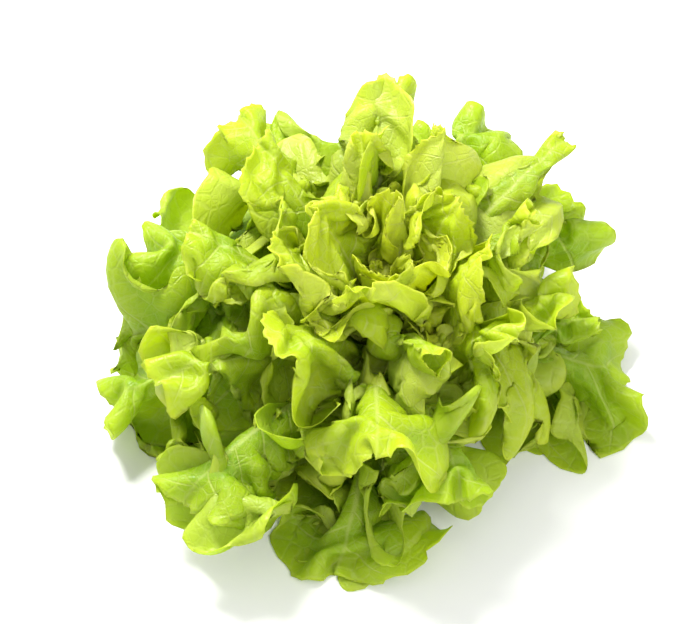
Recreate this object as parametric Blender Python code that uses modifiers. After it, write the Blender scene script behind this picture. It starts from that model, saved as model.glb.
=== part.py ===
"""Head of loose-leaf green oak lettuce, cut at the stem and standing on its cut face.

Metres, +Z up. The origin is the centre of the cut face, and +Z runs up the stem.
The leaves stand round the stem in a growth spiral. Each one lies on its own bowl, a surface
of revolution about the stem, and the bowls nest inside each other: the first is the lowest
and lies nearly flat, and the last stands almost upright. So no leaf can cross another.
"""

import math
from dataclasses import dataclass

import bpy
import numpy as np

# ---- the stem -------------------------------------------------------------------------------
STEM_RADIUS = 0.0170          # at the cut face and up to the first leaf
STEM_TIP_RADIUS = 0.0030      # at the growing point
STEM_HEIGHT = 0.0680
STEM_TIP_DOME = 0.0025        # height of the rounded growing point, above STEM_HEIGHT
CUT_CHAMFER = 0.0012          # the worn edge of the cut face
STEM_TAPER = 1.7              # above 1 the stem stays stout and then draws in to its tip
STEM_SIDES = 24
STEM_RINGS = 6                # rings that follow the taper

# ---- where the leaves stand -----------------------------------------------------------------
LEAF_COUNT = 36
DIVERGENCE = 137.5            # degrees between one leaf and the next
FIRST_AZIMUTH = 0.0           # degrees from +X, anticlockwise seen from above
ATTACH_LOWEST = 0.0100        # where the first leaf leaves the stem
ATTACH_TIP_GAP = 0.0030       # from the last leaf's foot to the top of the stem's side
ATTACH_HEIGHT = (ATTACH_LOWEST, STEM_HEIGHT - ATTACH_TIP_GAP)
ATTACH_GAP = 0.0004           # between a leaf's base and the stem's side

# ---- the bowls, from the outermost leaf to the innermost ------------------------------------
FLOOR_LEAVES = 3              # the first leaves share the lowest bowl and rest their tips on the floor
BASE_ANGLE = (45.0, 87.0)     # degrees above level, where the leaf leaves the stem
BASE_ANGLE_POWER = 0.62       # below 1 the leaves rise early in the spiral
TIP_ANGLE = (-56.0, 74.0)     # degrees above level, at the nominal length
TIP_ANGLE_POWER = 0.72
TIP_ANGLE_REACH = 1.15        # a leaf stops bending past this share of the nominal length
LEAF_LENGTH = (0.152, 0.084)  # along the midrib
LEAF_WIDTH = (0.130, 0.070)   # across the blade, along the bowl
PROFILE_REACH = 1.4           # how far a bowl is worked out, as a share of the nominal length
PROFILE_STEPS = 80

# ---- a leaf's own shape ---------------------------------------------------------------------
PETIOLE_WIDTH = (0.024, 0.009)     # at the stem, outermost and innermost leaf
RIB_THICKNESS = (0.0026, 0.0014)   # on the midrib at the stem
BLADE_THICKNESS = 0.0010           # at the margin
RIB_REACH = 1.2                    # how far the thick midrib reaches, per petiole half-width
BLADE_START = 0.16                 # where the blade begins to widen, as a share of the length
WIDEST_AT = 0.70                   # where it is widest
FLANK_POWER = 1.3                  # above 1 the blade widens slowly at first
TIP_NARROWING = 0.86               # 1 would bring the tip to a point
TIP_BOW = 0.30                     # how far the margin lags behind the midrib, per half-width
LOBES = 3                          # on each side
LOBE_RUN = 1.6                     # run of the lobes: 1 to the widest place, the rest to the tip
LOBE_DEPTH = 0.17                  # share of the half-width
RIPPLE = 0.0030                    # wave of the margin, off the bowl
RIPPLE_WAVES = 1.5                 # along a side
RIPPLE_STEP = 7.0                  # shifts the waves from rank to rank
RIPPLE_SIDES = (1.2, 1.0)          # size of the waves, left side and right side
RIB_FADE = 0.75                    # share of its thickness that the midrib loses by the tip
SWAY_POWER = 1.6                   # above 1 a swaying leaf bends mostly near its tip
SWAY_REACH = 1.2                   # it stops swaying past this share of its length
FLOOR_CLEARANCE = 0.0001           # a drooping tip lies this far above the floor
WRAP_LIMIT = math.radians(66)      # most that a half-leaf may wrap round the stem


@dataclass(frozen=True)
class Leaf:
    """One leaf's place and size."""

    name: str
    rank: float      # 0 the outermost bowl, 1 the innermost
    attach: float    # height of its base on the stem
    azimuth: float   # radians
    length: float
    width: float
    droop: float     # radians that the tip hangs below its bowl
    sway: float      # radians that the tip bends round the stem
    rows: int        # mesh steps from stem to tip
    columns: int     # mesh steps across


# Growth differs from leaf to leaf: length and width against the nominal leaf of its rank, then,
# in degrees, its turn from the spiral, how far its tip hangs, and how far its tip sways.
GROWTH = {
    "outer_leaf": [
        (0.86, 1.05, 3, 0, -6), (1.02, 1.00, 0, 0, 6), (0.83, 1.05, -13, 26, -4),
        (1.00, 1.00, 0, 0, 8), (1.04, 1.05, -2, 0, 5), (0.76, 0.66, 31, -4, 3),
        (1.12, 1.00, 0, 0, 5), (1.08, 1.10, -15, 14, -4), (0.96, 0.95, 4, 0, 6),
        (1.04, 1.10, 0, 0, 5), (0.92, 0.90, -2, 24, -5), (1.14, 0.95, 0, 0, -6),
    ],
    "middle_leaf": [
        (1.04, 1.00, 2, 8, -6), (0.84, 0.95, 0, 0, 8), (1.26, 1.10, 4, 0, -4),
        (1.05, 1.00, 0, 10, 6), (1.26, 1.00, -2, 0, 2), (1.08, 1.00, 0, 0, -6),
        (0.92, 0.90, 0, 0, 5), (1.24, 1.05, 3, 0, -8), (1.05, 1.00, 0, 6, 6),
        (1.00, 0.90, -4, 0, 8), (1.18, 1.00, 0, 0, -6), (1.04, 1.00, 0, 12, 5),
    ],
    "inner_leaf": [
        (1.16, 1.00, 0, 0, 8), (1.04, 1.00, 3, 0, -8), (1.00, 0.95, 0, 0, 6),
        (1.12, 1.05, -3, 0, -6), (0.98, 1.05, 0, 0, 8), (1.00, 1.00, 2, 0, -6),
        (1.04, 1.00, 0, 0, 5),
    ],
    "heart_leaf": [
        (1.00, 1.05, 0, 0, 0), (0.94, 1.00, 2, 0, 0), (0.78, 0.85, 0, 0, 0),
        (0.62, 0.70, 0, 0, 0), (0.50, 0.55, 0, 0, 0),
    ],
}
ROWS = {"outer_leaf": 10, "middle_leaf": 9, "inner_leaf": 8, "heart_leaf": 7}
COLUMNS = {"outer_leaf": 6, "middle_leaf": 6, "inner_leaf": 6, "heart_leaf": 6}


def between(ends, rank, power=1.0):
    """The value at this rank of a size that runs from ends[0] to ends[1]."""
    return ends[0] + (ends[1] - ends[0]) * rank**power


def stem_radius(height):
    """Radius of the stem's side at this height."""
    climb = (height - ATTACH_HEIGHT[0]) / (STEM_HEIGHT - ATTACH_HEIGHT[0])
    return between((STEM_RADIUS, STEM_TIP_RADIUS), min(max(climb, 0.0), 1.0), STEM_TAPER)


def all_leaves():
    """The leaves, outermost first."""
    leaves = []
    for kind, growths in GROWTH.items():
        for number, (length, width, turn, droop, sway) in enumerate(growths, start=1):
            index = len(leaves)
            rank = max(0, index + 1 - FLOOR_LEAVES) / (LEAF_COUNT - FLOOR_LEAVES)
            leaves.append(
                Leaf(
                    name=f"{kind}_{number:02d}",
                    rank=rank,
                    attach=between(ATTACH_HEIGHT, index / (LEAF_COUNT - 1)),
                    azimuth=math.radians(FIRST_AZIMUTH + DIVERGENCE * index + turn),
                    length=length * between(LEAF_LENGTH, rank),
                    width=width * between(LEAF_WIDTH, rank),
                    droop=math.radians(droop),
                    sway=math.radians(sway),
                    rows=ROWS[kind],
                    columns=COLUMNS[kind],
                )
            )
    return leaves


def bowl_profile(leaf):
    """(lengths, radii, heights, slopes) along the leaf's bowl, from the stem outwards."""
    rank = leaf.rank
    nominal = between(LEAF_LENGTH, rank)
    lengths = np.linspace(0, PROFILE_REACH * nominal, PROFILE_STEPS)
    start = math.radians(between(BASE_ANGLE, rank, BASE_ANGLE_POWER))
    end = math.radians(between(TIP_ANGLE, rank, TIP_ANGLE_POWER)) - leaf.droop
    slopes = start + (end - start) * np.minimum(lengths / nominal, TIP_ANGLE_REACH)
    step = lengths[1] - lengths[0]
    middle = (slopes[1:] + slopes[:-1]) / 2
    rib = between(RIB_THICKNESS, rank)
    foot = stem_radius(leaf.attach) + ATTACH_GAP + rib / 2 * (math.sin(start) + math.cos(start))
    radii = foot + np.concatenate([[0], np.cumsum(np.cos(middle) * step)])
    heights = leaf.attach + np.concatenate([[0], np.cumsum(np.sin(middle) * step)])
    return lengths, radii, heights, slopes


def half_width(leaf, share):
    """Half-width of the leaf at this share of its length: petiole, then a lobed blade."""
    petiole = between(PETIOLE_WIDTH, leaf.rank) / 2
    if share < BLADE_START:
        return petiole
    if share < WIDEST_AT:
        rise = (share - BLADE_START) / (WIDEST_AT - BLADE_START)
        run = rise
        swell = math.sin(rise * math.pi / 2) ** FLANK_POWER
    else:
        fall = (share - WIDEST_AT) / (1 - WIDEST_AT)
        run = 1 + (LOBE_RUN - 1) * fall
        swell = math.sqrt(1 - TIP_NARROWING * fall**2)
    lobes = 1 - LOBE_DEPTH * (0.5 + 0.5 * math.cos(2 * math.pi * LOBES * run / LOBE_RUN))
    blade = petiole + (leaf.width / 2 - petiole) * swell
    return petiole + (blade - petiole) * lobes


def leaf_sheet(leaf):
    """(points, faces, weights) of the leaf's middle surface; weights are 1 where it is thickest."""
    lengths, radii, heights, slopes = bowl_profile(leaf)
    rib_reach = between(PETIOLE_WIDTH, leaf.rank) / 2 * RIB_REACH
    points, weights = [], []
    for row in range(leaf.rows + 1):
        share = row / leaf.rows
        half = half_width(leaf, share)
        phase = 2 * math.pi * (RIPPLE_WAVES * share + RIPPLE_STEP * leaf.rank)
        for column in range(leaf.columns + 1):
            side = 2 * column / leaf.columns - 1
            reach = share * leaf.length - TIP_BOW * half * side**2 * share**2
            radius = np.interp(reach, lengths, radii)
            height = np.interp(reach, lengths, heights)
            slope = np.interp(reach, lengths, slopes)
            angle = side * half / radius
            angle = WRAP_LIMIT * math.tanh(angle / WRAP_LIMIT)
            wave = RIPPLE * share * side**2 * math.sin(phase * RIPPLE_SIDES[side > 0])
            radius -= wave * math.sin(slope)
            height += wave * math.cos(slope)
            height = max(height, FLOOR_CLEARANCE + BLADE_THICKNESS / 2)
            sway = leaf.sway * min(max(reach / leaf.length, 0.0), SWAY_REACH) ** SWAY_POWER
            turn = leaf.azimuth + sway + angle
            points.append((radius * math.cos(turn), radius * math.sin(turn), height))
            rib = max(0.0, 1 - abs(side) * half / rib_reach)
            weights.append(rib * (1 - RIB_FADE * share))
    faces = []
    across = leaf.columns + 1
    for row in range(leaf.rows):
        for column in range(leaf.columns):
            corner = row * across + column
            faces.append((corner, corner + 1, corner + across + 1, corner + across))
    return points, faces, weights


def material(name, colour, roughness):
    """A plain Principled material."""
    made = bpy.data.materials.new(name)
    made.use_nodes = True
    shader = made.node_tree.nodes["Principled BSDF"]
    shader.inputs["Base Color"].default_value = (*colour, 1)
    shader.inputs["Roughness"].default_value = roughness
    shader.inputs["Metallic"].default_value = 0
    made.diffuse_color = (*colour, 1)
    return made


def build_leaf(leaf, collection, surface):
    """Adds the leaf: a sheet on its bowl, thickened, most along the midrib."""
    points, faces, weights = leaf_sheet(leaf)
    mesh = bpy.data.meshes.new(leaf.name)
    mesh.from_pydata(points, [], faces)
    mesh.materials.append(surface)
    mesh.shade_smooth()
    obj = bpy.data.objects.new(leaf.name, mesh)
    collection.objects.link(obj)
    group = obj.vertex_groups.new(name="rib")
    for index, weight in enumerate(weights):
        group.add([index], weight, "REPLACE")
    rib = between(RIB_THICKNESS, leaf.rank)
    wall = obj.modifiers.new("wall", "SOLIDIFY")
    wall.thickness = rib
    wall.offset = 0
    wall.vertex_group = group.name
    wall.thickness_vertex_group = BLADE_THICKNESS / rib
    return obj


def build_stem(collection, surface):
    """Adds the stem: a turned core with a flat cut face and a rounded growing point."""
    dome = [
        (STEM_TIP_RADIUS * math.cos(a), STEM_HEIGHT + STEM_TIP_DOME * math.sin(a))
        for a in np.radians([90, 60, 30, 0])
    ]
    side = [
        (stem_radius(height), height)
        for height in np.linspace(STEM_HEIGHT, ATTACH_HEIGHT[0], STEM_RINGS + 1)[1:]
    ] + [
        (STEM_RADIUS, CUT_CHAMFER),
        (STEM_RADIUS - CUT_CHAMFER, 0.0),
        (0.0, 0.0),
    ]
    outline = [(0.0, dome[0][1])] + dome[1:] + side
    mesh = bpy.data.meshes.new("stem_core")
    mesh.from_pydata(
        [(radius, 0, height) for radius, height in outline],
        [(i, i + 1) for i in range(len(outline) - 1)],
        [],
    )
    mesh.materials.append(surface)
    obj = bpy.data.objects.new("stem_core", mesh)
    collection.objects.link(obj)
    turn = obj.modifiers.new("turn", "SCREW")
    turn.axis = "Z"
    turn.steps = STEM_SIDES
    turn.render_steps = STEM_SIDES
    turn.use_merge_vertices = True
    turn.merge_threshold = 0.00005
    turn.use_smooth_shade = True
    return obj


def main():
    """Clears the scene and builds the head."""
    for obj in list(bpy.data.objects):
        bpy.data.objects.remove(obj)
    collection = bpy.data.collections.new("lettuce_head")
    bpy.context.scene.collection.children.link(collection)
    blade = material("leaf_blade", (0.36, 0.62, 0.05), 0.45)
    pith = material("stem_pith", (0.72, 0.80, 0.50), 0.55)
    build_stem(collection, pith)
    for leaf in all_leaves():
        build_leaf(leaf, collection, blade)


main()
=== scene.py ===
"""Looks of a head of green oak-leaf lettuce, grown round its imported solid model.

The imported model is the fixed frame: a stem, and one plain solid for each leaf on its own bowl,
a surface of revolution about the stem. This script grows the real surface of each leaf. A flat
lobed pattern is laid on the leaf's bowl, its margin grows faster than its middle, and the sheet
buckles into waves and curls, kept clear of the other leaves. Then it gets its veins, blisters,
teeth and wall thickness, and a leaf finish. Metres, +Z up.
"""

import logging
import math
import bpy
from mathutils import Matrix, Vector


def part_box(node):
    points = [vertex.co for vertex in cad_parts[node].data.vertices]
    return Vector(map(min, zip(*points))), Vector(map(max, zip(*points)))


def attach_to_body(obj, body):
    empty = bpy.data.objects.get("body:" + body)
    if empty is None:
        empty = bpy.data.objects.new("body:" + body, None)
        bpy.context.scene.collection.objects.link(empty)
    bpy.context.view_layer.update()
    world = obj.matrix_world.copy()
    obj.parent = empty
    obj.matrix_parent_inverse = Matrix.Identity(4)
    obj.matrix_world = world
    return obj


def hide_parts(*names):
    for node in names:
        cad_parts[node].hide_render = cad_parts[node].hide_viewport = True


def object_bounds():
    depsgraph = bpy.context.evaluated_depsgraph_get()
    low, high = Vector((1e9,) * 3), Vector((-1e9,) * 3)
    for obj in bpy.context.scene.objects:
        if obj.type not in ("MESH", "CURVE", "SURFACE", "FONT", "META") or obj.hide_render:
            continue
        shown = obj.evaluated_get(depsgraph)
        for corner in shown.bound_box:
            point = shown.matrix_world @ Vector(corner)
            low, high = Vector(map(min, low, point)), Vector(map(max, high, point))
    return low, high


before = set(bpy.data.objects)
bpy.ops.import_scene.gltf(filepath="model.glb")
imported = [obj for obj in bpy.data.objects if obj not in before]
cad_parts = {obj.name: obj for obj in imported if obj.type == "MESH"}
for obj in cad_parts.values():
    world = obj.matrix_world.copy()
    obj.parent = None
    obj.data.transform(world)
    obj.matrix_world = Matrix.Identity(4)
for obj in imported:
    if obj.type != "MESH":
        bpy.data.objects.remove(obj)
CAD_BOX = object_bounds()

from concurrent.futures import ThreadPoolExecutor
from dataclasses import dataclass
from enum import Enum

import bpy
import numpy as np
from mathutils import Vector

Array = np.ndarray
Triple = tuple[float, float, float]
LOG = logging.getLogger("lettuce")
GROWTH_SEED = 7
WORKERS = 4


class Zone(Enum):
    """Where a leaf stands in the head, named as the frame's nodes are."""

    OUTER = "outer_leaf"
    MIDDLE = "middle_leaf"
    INNER = "inner_leaf"
    HEART = "heart_leaf"


class Slot(Enum):
    """The record's material slots."""

    STEM = "stem"
    OUTER_BLADE = "outer_blade"
    HEART_BLADE = "heart_blade"


def smooth(values: Array | float) -> Array:
    """The smooth step of values, from 0 at 0 to 1 at 1."""
    share = np.clip(values, 0.0, 1.0)
    return share * share * (3.0 - 2.0 * share)


def between(ends: tuple[float, float], rank: float, power: float = 1.0) -> float:
    """The value at this rank of a size that runs from ends[0] to ends[1]."""
    return ends[0] + (ends[1] - ends[0]) * rank**power


def cloud(rng: np.random.Generator, flat: Array, size: float, waves: int = 8) -> Array:
    """A smooth random function of flat places.

    Args:
        rng: The source of the waves' directions, lengths and phases.
        flat: The places (..., 2), in metres.
        size: The length of the shortest wave, in metres.
        waves: How many waves are summed.

    Returns:
        The values, mostly -1 to 1.
    """
    total = np.zeros(flat.shape[:-1])
    for _ in range(waves):
        turn = rng.uniform(0, 2 * np.pi)
        length = size * rng.uniform(1.0, 1.9)
        run = (flat[..., 0] * math.cos(turn) + flat[..., 1] * math.sin(turn)) / length
        total += np.sin(2 * np.pi * (run + rng.uniform()))
    return total / math.sqrt(waves)


# ---- the plan of the head, as the frame's leaves have it --------------------------------------


@dataclass(frozen=True)
class HeadPlan:
    """The sizes that place every leaf: the same driving sizes as the frame's solids."""

    stem_radius: float = 0.0170
    stem_tip_radius: float = 0.0030
    stem_height: float = 0.0680
    stem_taper: float = 1.7
    divergence: float = 137.5
    attach_lowest: float = 0.0100
    attach_tip_gap: float = 0.0030
    attach_gap: float = 0.0004
    floor_leaves: int = 3
    base_angle: tuple[float, float] = (45.0, 87.0)
    base_angle_power: float = 0.62
    tip_angle: tuple[float, float] = (-56.0, 74.0)
    tip_angle_power: float = 0.72
    tip_angle_reach: float = 1.15
    leaf_length: tuple[float, float] = (0.152, 0.084)
    leaf_width: tuple[float, float] = (0.130, 0.070)
    petiole_width: tuple[float, float] = (0.024, 0.009)
    rib_thickness: tuple[float, float] = (0.0026, 0.0014)
    wrap_limit: float = math.radians(66)

    @property
    def attach_height(self) -> tuple[float, float]:
        """Heights at which the lowest and the highest leaf leave the stem."""
        return self.attach_lowest, self.stem_height - self.attach_tip_gap

    def stem_radius_at(self, height: float) -> float:
        """Radius of the stem's side at this height."""
        climb = (height - self.attach_height[0]) / (self.stem_height - self.attach_height[0])
        return between(
            (self.stem_radius, self.stem_tip_radius), min(max(climb, 0.0), 1.0), self.stem_taper
        )


# Each leaf against the nominal leaf of its rank: length, width, then its turn from the spiral and
# how far its tip hangs below its bowl, in degrees. The frame's leaves have the same.
LEAF_GROWTH = {
    Zone.OUTER: [
        (0.86, 1.05, 3, 0, -6), (1.02, 1.00, 0, 0, 6), (0.83, 1.05, -13, 26, -4),
        (1.00, 1.00, 0, 0, 8), (1.04, 1.05, -2, 0, 5), (0.76, 0.66, 31, -4, 3),
        (1.12, 1.00, 0, 0, 5), (1.08, 1.10, -15, 14, -4), (0.96, 0.95, 4, 0, 6),
        (1.04, 1.10, 0, 0, 5), (0.92, 0.90, -2, 24, -5), (1.14, 0.95, 0, 0, -6),
    ],
    Zone.MIDDLE: [
        (1.04, 1.00, 2, 8, -6), (0.84, 0.95, 0, 0, 8), (1.26, 1.10, 4, 0, -4),
        (1.05, 1.00, 0, 10, 6), (1.26, 1.00, -2, 0, 2), (1.08, 1.00, 0, 0, -6),
        (0.92, 0.90, 0, 0, 5), (1.24, 1.05, 3, 0, -8), (1.05, 1.00, 0, 6, 6),
        (1.00, 0.90, -4, 0, 8), (1.18, 1.00, 0, 0, -6), (1.04, 1.00, 0, 12, 5),
    ],
    Zone.INNER: [
        (1.16, 1.00, 0, 0, 8), (1.04, 1.00, 3, 0, -8), (1.00, 0.95, 0, 0, 6),
        (1.12, 1.05, -3, 0, -6), (0.98, 1.05, 0, 0, 8), (1.00, 1.00, 2, 0, -6),
        (1.04, 1.00, 0, 0, 5),
    ],
    Zone.HEART: [
        (1.00, 1.05, 0, 0, 0), (0.94, 1.00, 2, 0, 0), (0.78, 0.85, 0, 0, 0),
        (0.62, 0.70, 0, 0, 0), (0.50, 0.55, 0, 0, 0),
    ],
}


@dataclass(frozen=True)
class LeafPlan:
    """One leaf's place and size on the stem."""

    node: str
    zone: Zone
    number: int
    index: int
    rank: float
    attach: float
    azimuth: float
    length: float
    width: float
    droop: float
    sway: float

    @property
    def piece(self) -> str:
        """The name of the visual piece."""
        return f"{self.zone.value}_blade_{self.number:02d}"


def plan_leaves(head: HeadPlan) -> list[LeafPlan]:
    """The leaves of the head, outermost first.

    Args:
        head: The sizes of the head.

    Returns:
        One plan for each leaf node of the frame.
    """
    count = sum(len(growths) for growths in LEAF_GROWTH.values())
    plans: list[LeafPlan] = []
    for zone, growths in LEAF_GROWTH.items():
        for number, (length, width, turn, droop, sway) in enumerate(growths, start=1):
            index = len(plans)
            rank = max(0, index + 1 - head.floor_leaves) / (count - head.floor_leaves)
            plans.append(
                LeafPlan(
                    node=f"{zone.value}_{number:02d}",
                    zone=zone,
                    number=number,
                    index=index,
                    rank=rank,
                    attach=between(head.attach_height, index / (count - 1)),
                    azimuth=math.radians(head.divergence * index + turn),
                    length=length * between(head.leaf_length, rank),
                    width=width * between(head.leaf_width, rank),
                    droop=math.radians(droop),
                    sway=math.radians(sway),
                )
            )
    return plans


class Bowl:
    """The surface of revolution about the stem that a leaf starts on."""

    REACH = 1.5        # how far the bowl is worked out, as a share of the nominal length
    STEPS = 140
    SWAY_POWER = 1.6
    SWAY_REACH = 1.2   # a leaf stops swaying past this share of its length

    def __init__(self, leaf: LeafPlan, head: HeadPlan) -> None:
        """Works out the bowl's profile from the stem outwards."""
        nominal = between(head.leaf_length, leaf.rank)
        self.leaf = leaf
        self.wrap_limit = head.wrap_limit
        self.lengths = np.linspace(0.0, self.REACH * nominal, self.STEPS)
        start = math.radians(between(head.base_angle, leaf.rank, head.base_angle_power))
        end = math.radians(between(head.tip_angle, leaf.rank, head.tip_angle_power)) - leaf.droop
        share = np.minimum(self.lengths / nominal, head.tip_angle_reach)
        slopes = start + (end - start) * share
        step = self.lengths[1] - self.lengths[0]
        middle = (slopes[1:] + slopes[:-1]) / 2
        rib = between(head.rib_thickness, leaf.rank)
        foot = (
            head.stem_radius_at(leaf.attach)
            + head.attach_gap
            + rib / 2 * (math.sin(start) + math.cos(start))
        )
        self.radii = foot + np.concatenate([[0.0], np.cumsum(np.cos(middle) * step)])
        self.heights = leaf.attach + np.concatenate([[0.0], np.cumsum(np.sin(middle) * step)])

    def lay(self, flat: Array, lowest: float) -> Array:
        """Lays a flat pattern on the bowl.

        Args:
            flat: Points (..., 2): across the leaf and along it from its base.
            lowest: The least height of a point, where the leaf meets the floor.

        Returns:
            The points (..., 3) on the bowl.
        """
        radius = np.interp(flat[..., 1], self.lengths, self.radii)
        height = np.interp(flat[..., 1], self.lengths, self.heights)
        angle = flat[..., 0] / radius
        angle = self.wrap_limit * np.tanh(angle / self.wrap_limit)
        along = (flat[..., 1] / self.leaf.length).clip(0, self.SWAY_REACH)
        turn = self.leaf.azimuth + self.leaf.sway * along**self.SWAY_POWER + angle
        points = [radius * np.cos(turn), radius * np.sin(turn), np.maximum(height, lowest)]
        return np.stack(points, axis=-1)


# ---- the flat pattern of a leaf ----------------------------------------------------------------


@dataclass(frozen=True)
class BladeShape:
    """How the blade of a zone's leaves is cut and how it grows."""

    sinuses: tuple[float, ...]  # where the margin is notched, from the base (0) to the apex (1)
    sinus_depth: float          # share of the way to the midrib
    growth: float               # how much longer the margin grows than the pattern
    growth_reach: float         # how far in from the margin the growth reaches, in metres
    frill: float                # share of the full frills that the very edge gets
    wave: float                 # depth of the first waves, in metres
    curl: float                 # the lobes' own curvature, per metre
    cup: float                  # mean curvature of the lobes, per metre: above 0 is inwards
    blister: float              # height of the swellings between the veins, in metres


BLADE_SHAPES = {
    Zone.OUTER: BladeShape((0.32, 0.50, 0.73), 0.56, 1.30, 0.012, 1.0, 0.007, 55.0, 0.0, 0.0012),
    Zone.MIDDLE: BladeShape((0.33, 0.51, 0.74), 0.54, 1.30, 0.012, 1.0, 0.007, 55.0, 5.0, 0.0011),
    Zone.INNER: BladeShape((0.40, 0.68), 0.36, 0.80, 0.012, 0.3, 0.004, 38.0, 18.0, 0.0004),
    Zone.HEART: BladeShape((0.45, 0.75), 0.18, 0.26, 0.010, 0.1, 0.002, 20.0, 22.0, 0.0002),
}


@dataclass
class LeafField:
    """A leaf's flat pattern on a grid, and where each place is in the blade."""

    u: Array
    v: Array
    flat: Array      # across the leaf and along it, in metres
    margin: Array    # distance from the margin, in metres
    outward: Array   # direction of the nearest margin
    place: Array     # the nearest margin's place from the base (0) to the apex (1)


class LeafPattern:
    """The flat lobed pattern of one leaf, which can be read on a grid of any fineness.

    A grid has u, the share of the way from the stem to the tip, and v, from -1 at one margin
    through 0 on the midrib to 1 at the other. The margin of each side has a place t, 0 at the
    base and 1 at the apex; the grid's corners are at CORNER.
    """

    YOUNG_SHARE = (0.95, 0.94)     # the pattern's length and width, as shares of the leaf's
    STALK_RUN = 0.06               # the margin's run along the stalk; the blade has the rest
    BLADE_RUN = 0.94
    BLADE_START = 0.15             # where the blade begins to widen, as a share of the length
    STALK_FADE = 0.9
    CORNER = 0.64
    WIDEST_POWER = 0.72
    FLANK_POWERS = (1.25, 1.0)
    SKEW = 0.08                    # how uneven the two sides may be
    NOTCH_SHIFT = 0.04
    NOTCH_WIDTHS = (0.024, 0.042)
    NOTCH_SHARES = (0.5, 1.2)
    SINUS_LEAN = 0.35
    LOBE_BULGE = 0.05
    LOBE_BULGE_RISE = 0.3
    LOBE_ROUNDNESS = 0.46
    SMALL_LOBES_FROM = 0.12
    SMALL_LOBE_ROUNDNESS = 0.6
    SMALL_LOBE_STEP = 0.072
    SMALL_LOBE_SHIFT = 0.3
    SMALL_LOBE_DEPTHS = (0.06, 0.26)
    PUCKERS = (0.5, 1.7)           # how strong a leaf's swellings are, against its zone's
    MARGIN_POINTS = 260
    RIM = 0.999                    # past this share of the way out, a grid point is on the margin
    GROWTH_ALONG = ((0.1, 0.2, 0.4, 0.65), (0, 0.15, 0.85, 1.0))
    GROWTH_PATCH = 0.055
    GROWTH_UNEVEN = 0.4
    GROWTH_LIMITS = (0.2, 1.8)
    GROWTH_FALL = 1.5              # how sharply growth falls off inwards
    NOTCH_HOLD = 0.9               # share of the growth that a notch stops
    WAVE_REACH = 0.025
    WAVE_SIZE = 0.030
    WAVE_RISE = (0.15, 0.3)
    FRILL_REACH = 0.008
    FRILL_BAND = 0.0055
    FRILL_SIZE = 0.011
    FRILL_PATCH = 0.050
    FRILL_SHARES = (0.5, 0.8)
    FRILL_RISE = (0.2, 0.3)
    CURL_REACH = 0.030
    CURL_BAND = 0.020
    VEIN_SPACING = 0.019
    VEIN_LEAN = 0.62
    VEIN_BEND = 2.2
    VEIN_STAGGER = 0.42            # how far one side's veins stand ahead of the other's

    def __init__(self, leaf: LeafPlan, head: HeadPlan) -> None:
        """Draws what is random in the leaf's shape."""
        self.leaf = leaf
        self.shape = BLADE_SHAPES[leaf.zone]
        self.length = leaf.length * self.YOUNG_SHARE[0]
        self.width = leaf.width * self.YOUNG_SHARE[1]
        self.petiole = between(head.petiole_width, leaf.rank) / 2
        rng = np.random.default_rng(GROWTH_SEED * 1000 + leaf.index)
        self.notches = {}
        self.curls = {}
        for side in (-1, 1):
            self.notches[side] = [
                (
                    place + rng.uniform(-self.NOTCH_SHIFT, self.NOTCH_SHIFT),
                    rng.uniform(*self.NOTCH_WIDTHS),
                    self.shape.sinus_depth * rng.uniform(*self.NOTCH_SHARES),
                )
                for place in self.shape.sinuses
            ]
            curls = rng.normal(0.0, 1.0, len(self.shape.sinuses) + 1).clip(-1.5, 1.5)
            self.curls[side] = self.shape.cup + self.shape.curl * curls
        self.small_notches = {}
        for side in (-1, 1):
            places = np.arange(self.SMALL_LOBES_FROM, 1.0, self.SMALL_LOBE_STEP)
            shifts = rng.uniform(-self.SMALL_LOBE_SHIFT, self.SMALL_LOBE_SHIFT, len(places))
            places = places + shifts * self.SMALL_LOBE_STEP
            depths = rng.uniform(*self.SMALL_LOBE_DEPTHS, len(places))
            self.small_notches[side] = [*places, 2 - places[-1]], [*depths, depths[-1]]
        self.pucker = rng.uniform(*self.PUCKERS)
        tip = (self.curls[-1][-1] + self.curls[1][-1]) / 2
        self.curls[-1][-1] = self.curls[1][-1] = tip
        self.seeds = rng.integers(1 << 30, size=2)
        self.skew = rng.uniform(-self.SKEW, self.SKEW)
        self.vein_start = rng.uniform()

    def notch(self, side: int, t: Array) -> Array:
        """1 in the notches of the margin, falling to 0 beside them."""
        return sum(np.exp(-(((t - p) / w) ** 2)) for p, w, _ in self.notches[side]).clip(0, 1)

    @staticmethod
    def scallop(t: Array, places: list[float], depths: list[float], roundness: float) -> Array:
        """A run of round lobes between notches.

        Args:
            t: Places of the margin.
            places: Where the notches are.
            depths: How deep each notch is.
            roundness: Below 0.5 the lobes are flatter and the notches narrower.

        Returns:
            0 on the lobes, falling to the notches' depths.
        """
        total = np.zeros_like(t)
        for k in range(len(places) - 1):
            run = 2 * (t - places[k]) / (places[k + 1] - places[k]) - 1
            round_end = 1 - (1 - run.clip(-1, 1) ** 2) ** roundness
            depth = np.where(run < 0, depths[k], depths[k + 1])
            total = np.where((run >= -1) & (run < 1), depth * round_end, total)
        return total

    def cut(self, side: int, t: Array) -> Array:
        """How far the margin is cut in towards the midrib: lobes, and small lobes on them."""
        notches = self.notches[side]
        places = [0.0, *(notch[0] for notch in notches), 2 - notches[-1][0]]
        depths = [0.0, *(notch[2] for notch in notches), 0.0]
        lobes = self.scallop(t, places, depths, self.LOBE_ROUNDNESS)
        return lobes + self.scallop(t, *self.small_notches[side], self.SMALL_LOBE_ROUNDNESS)

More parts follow.
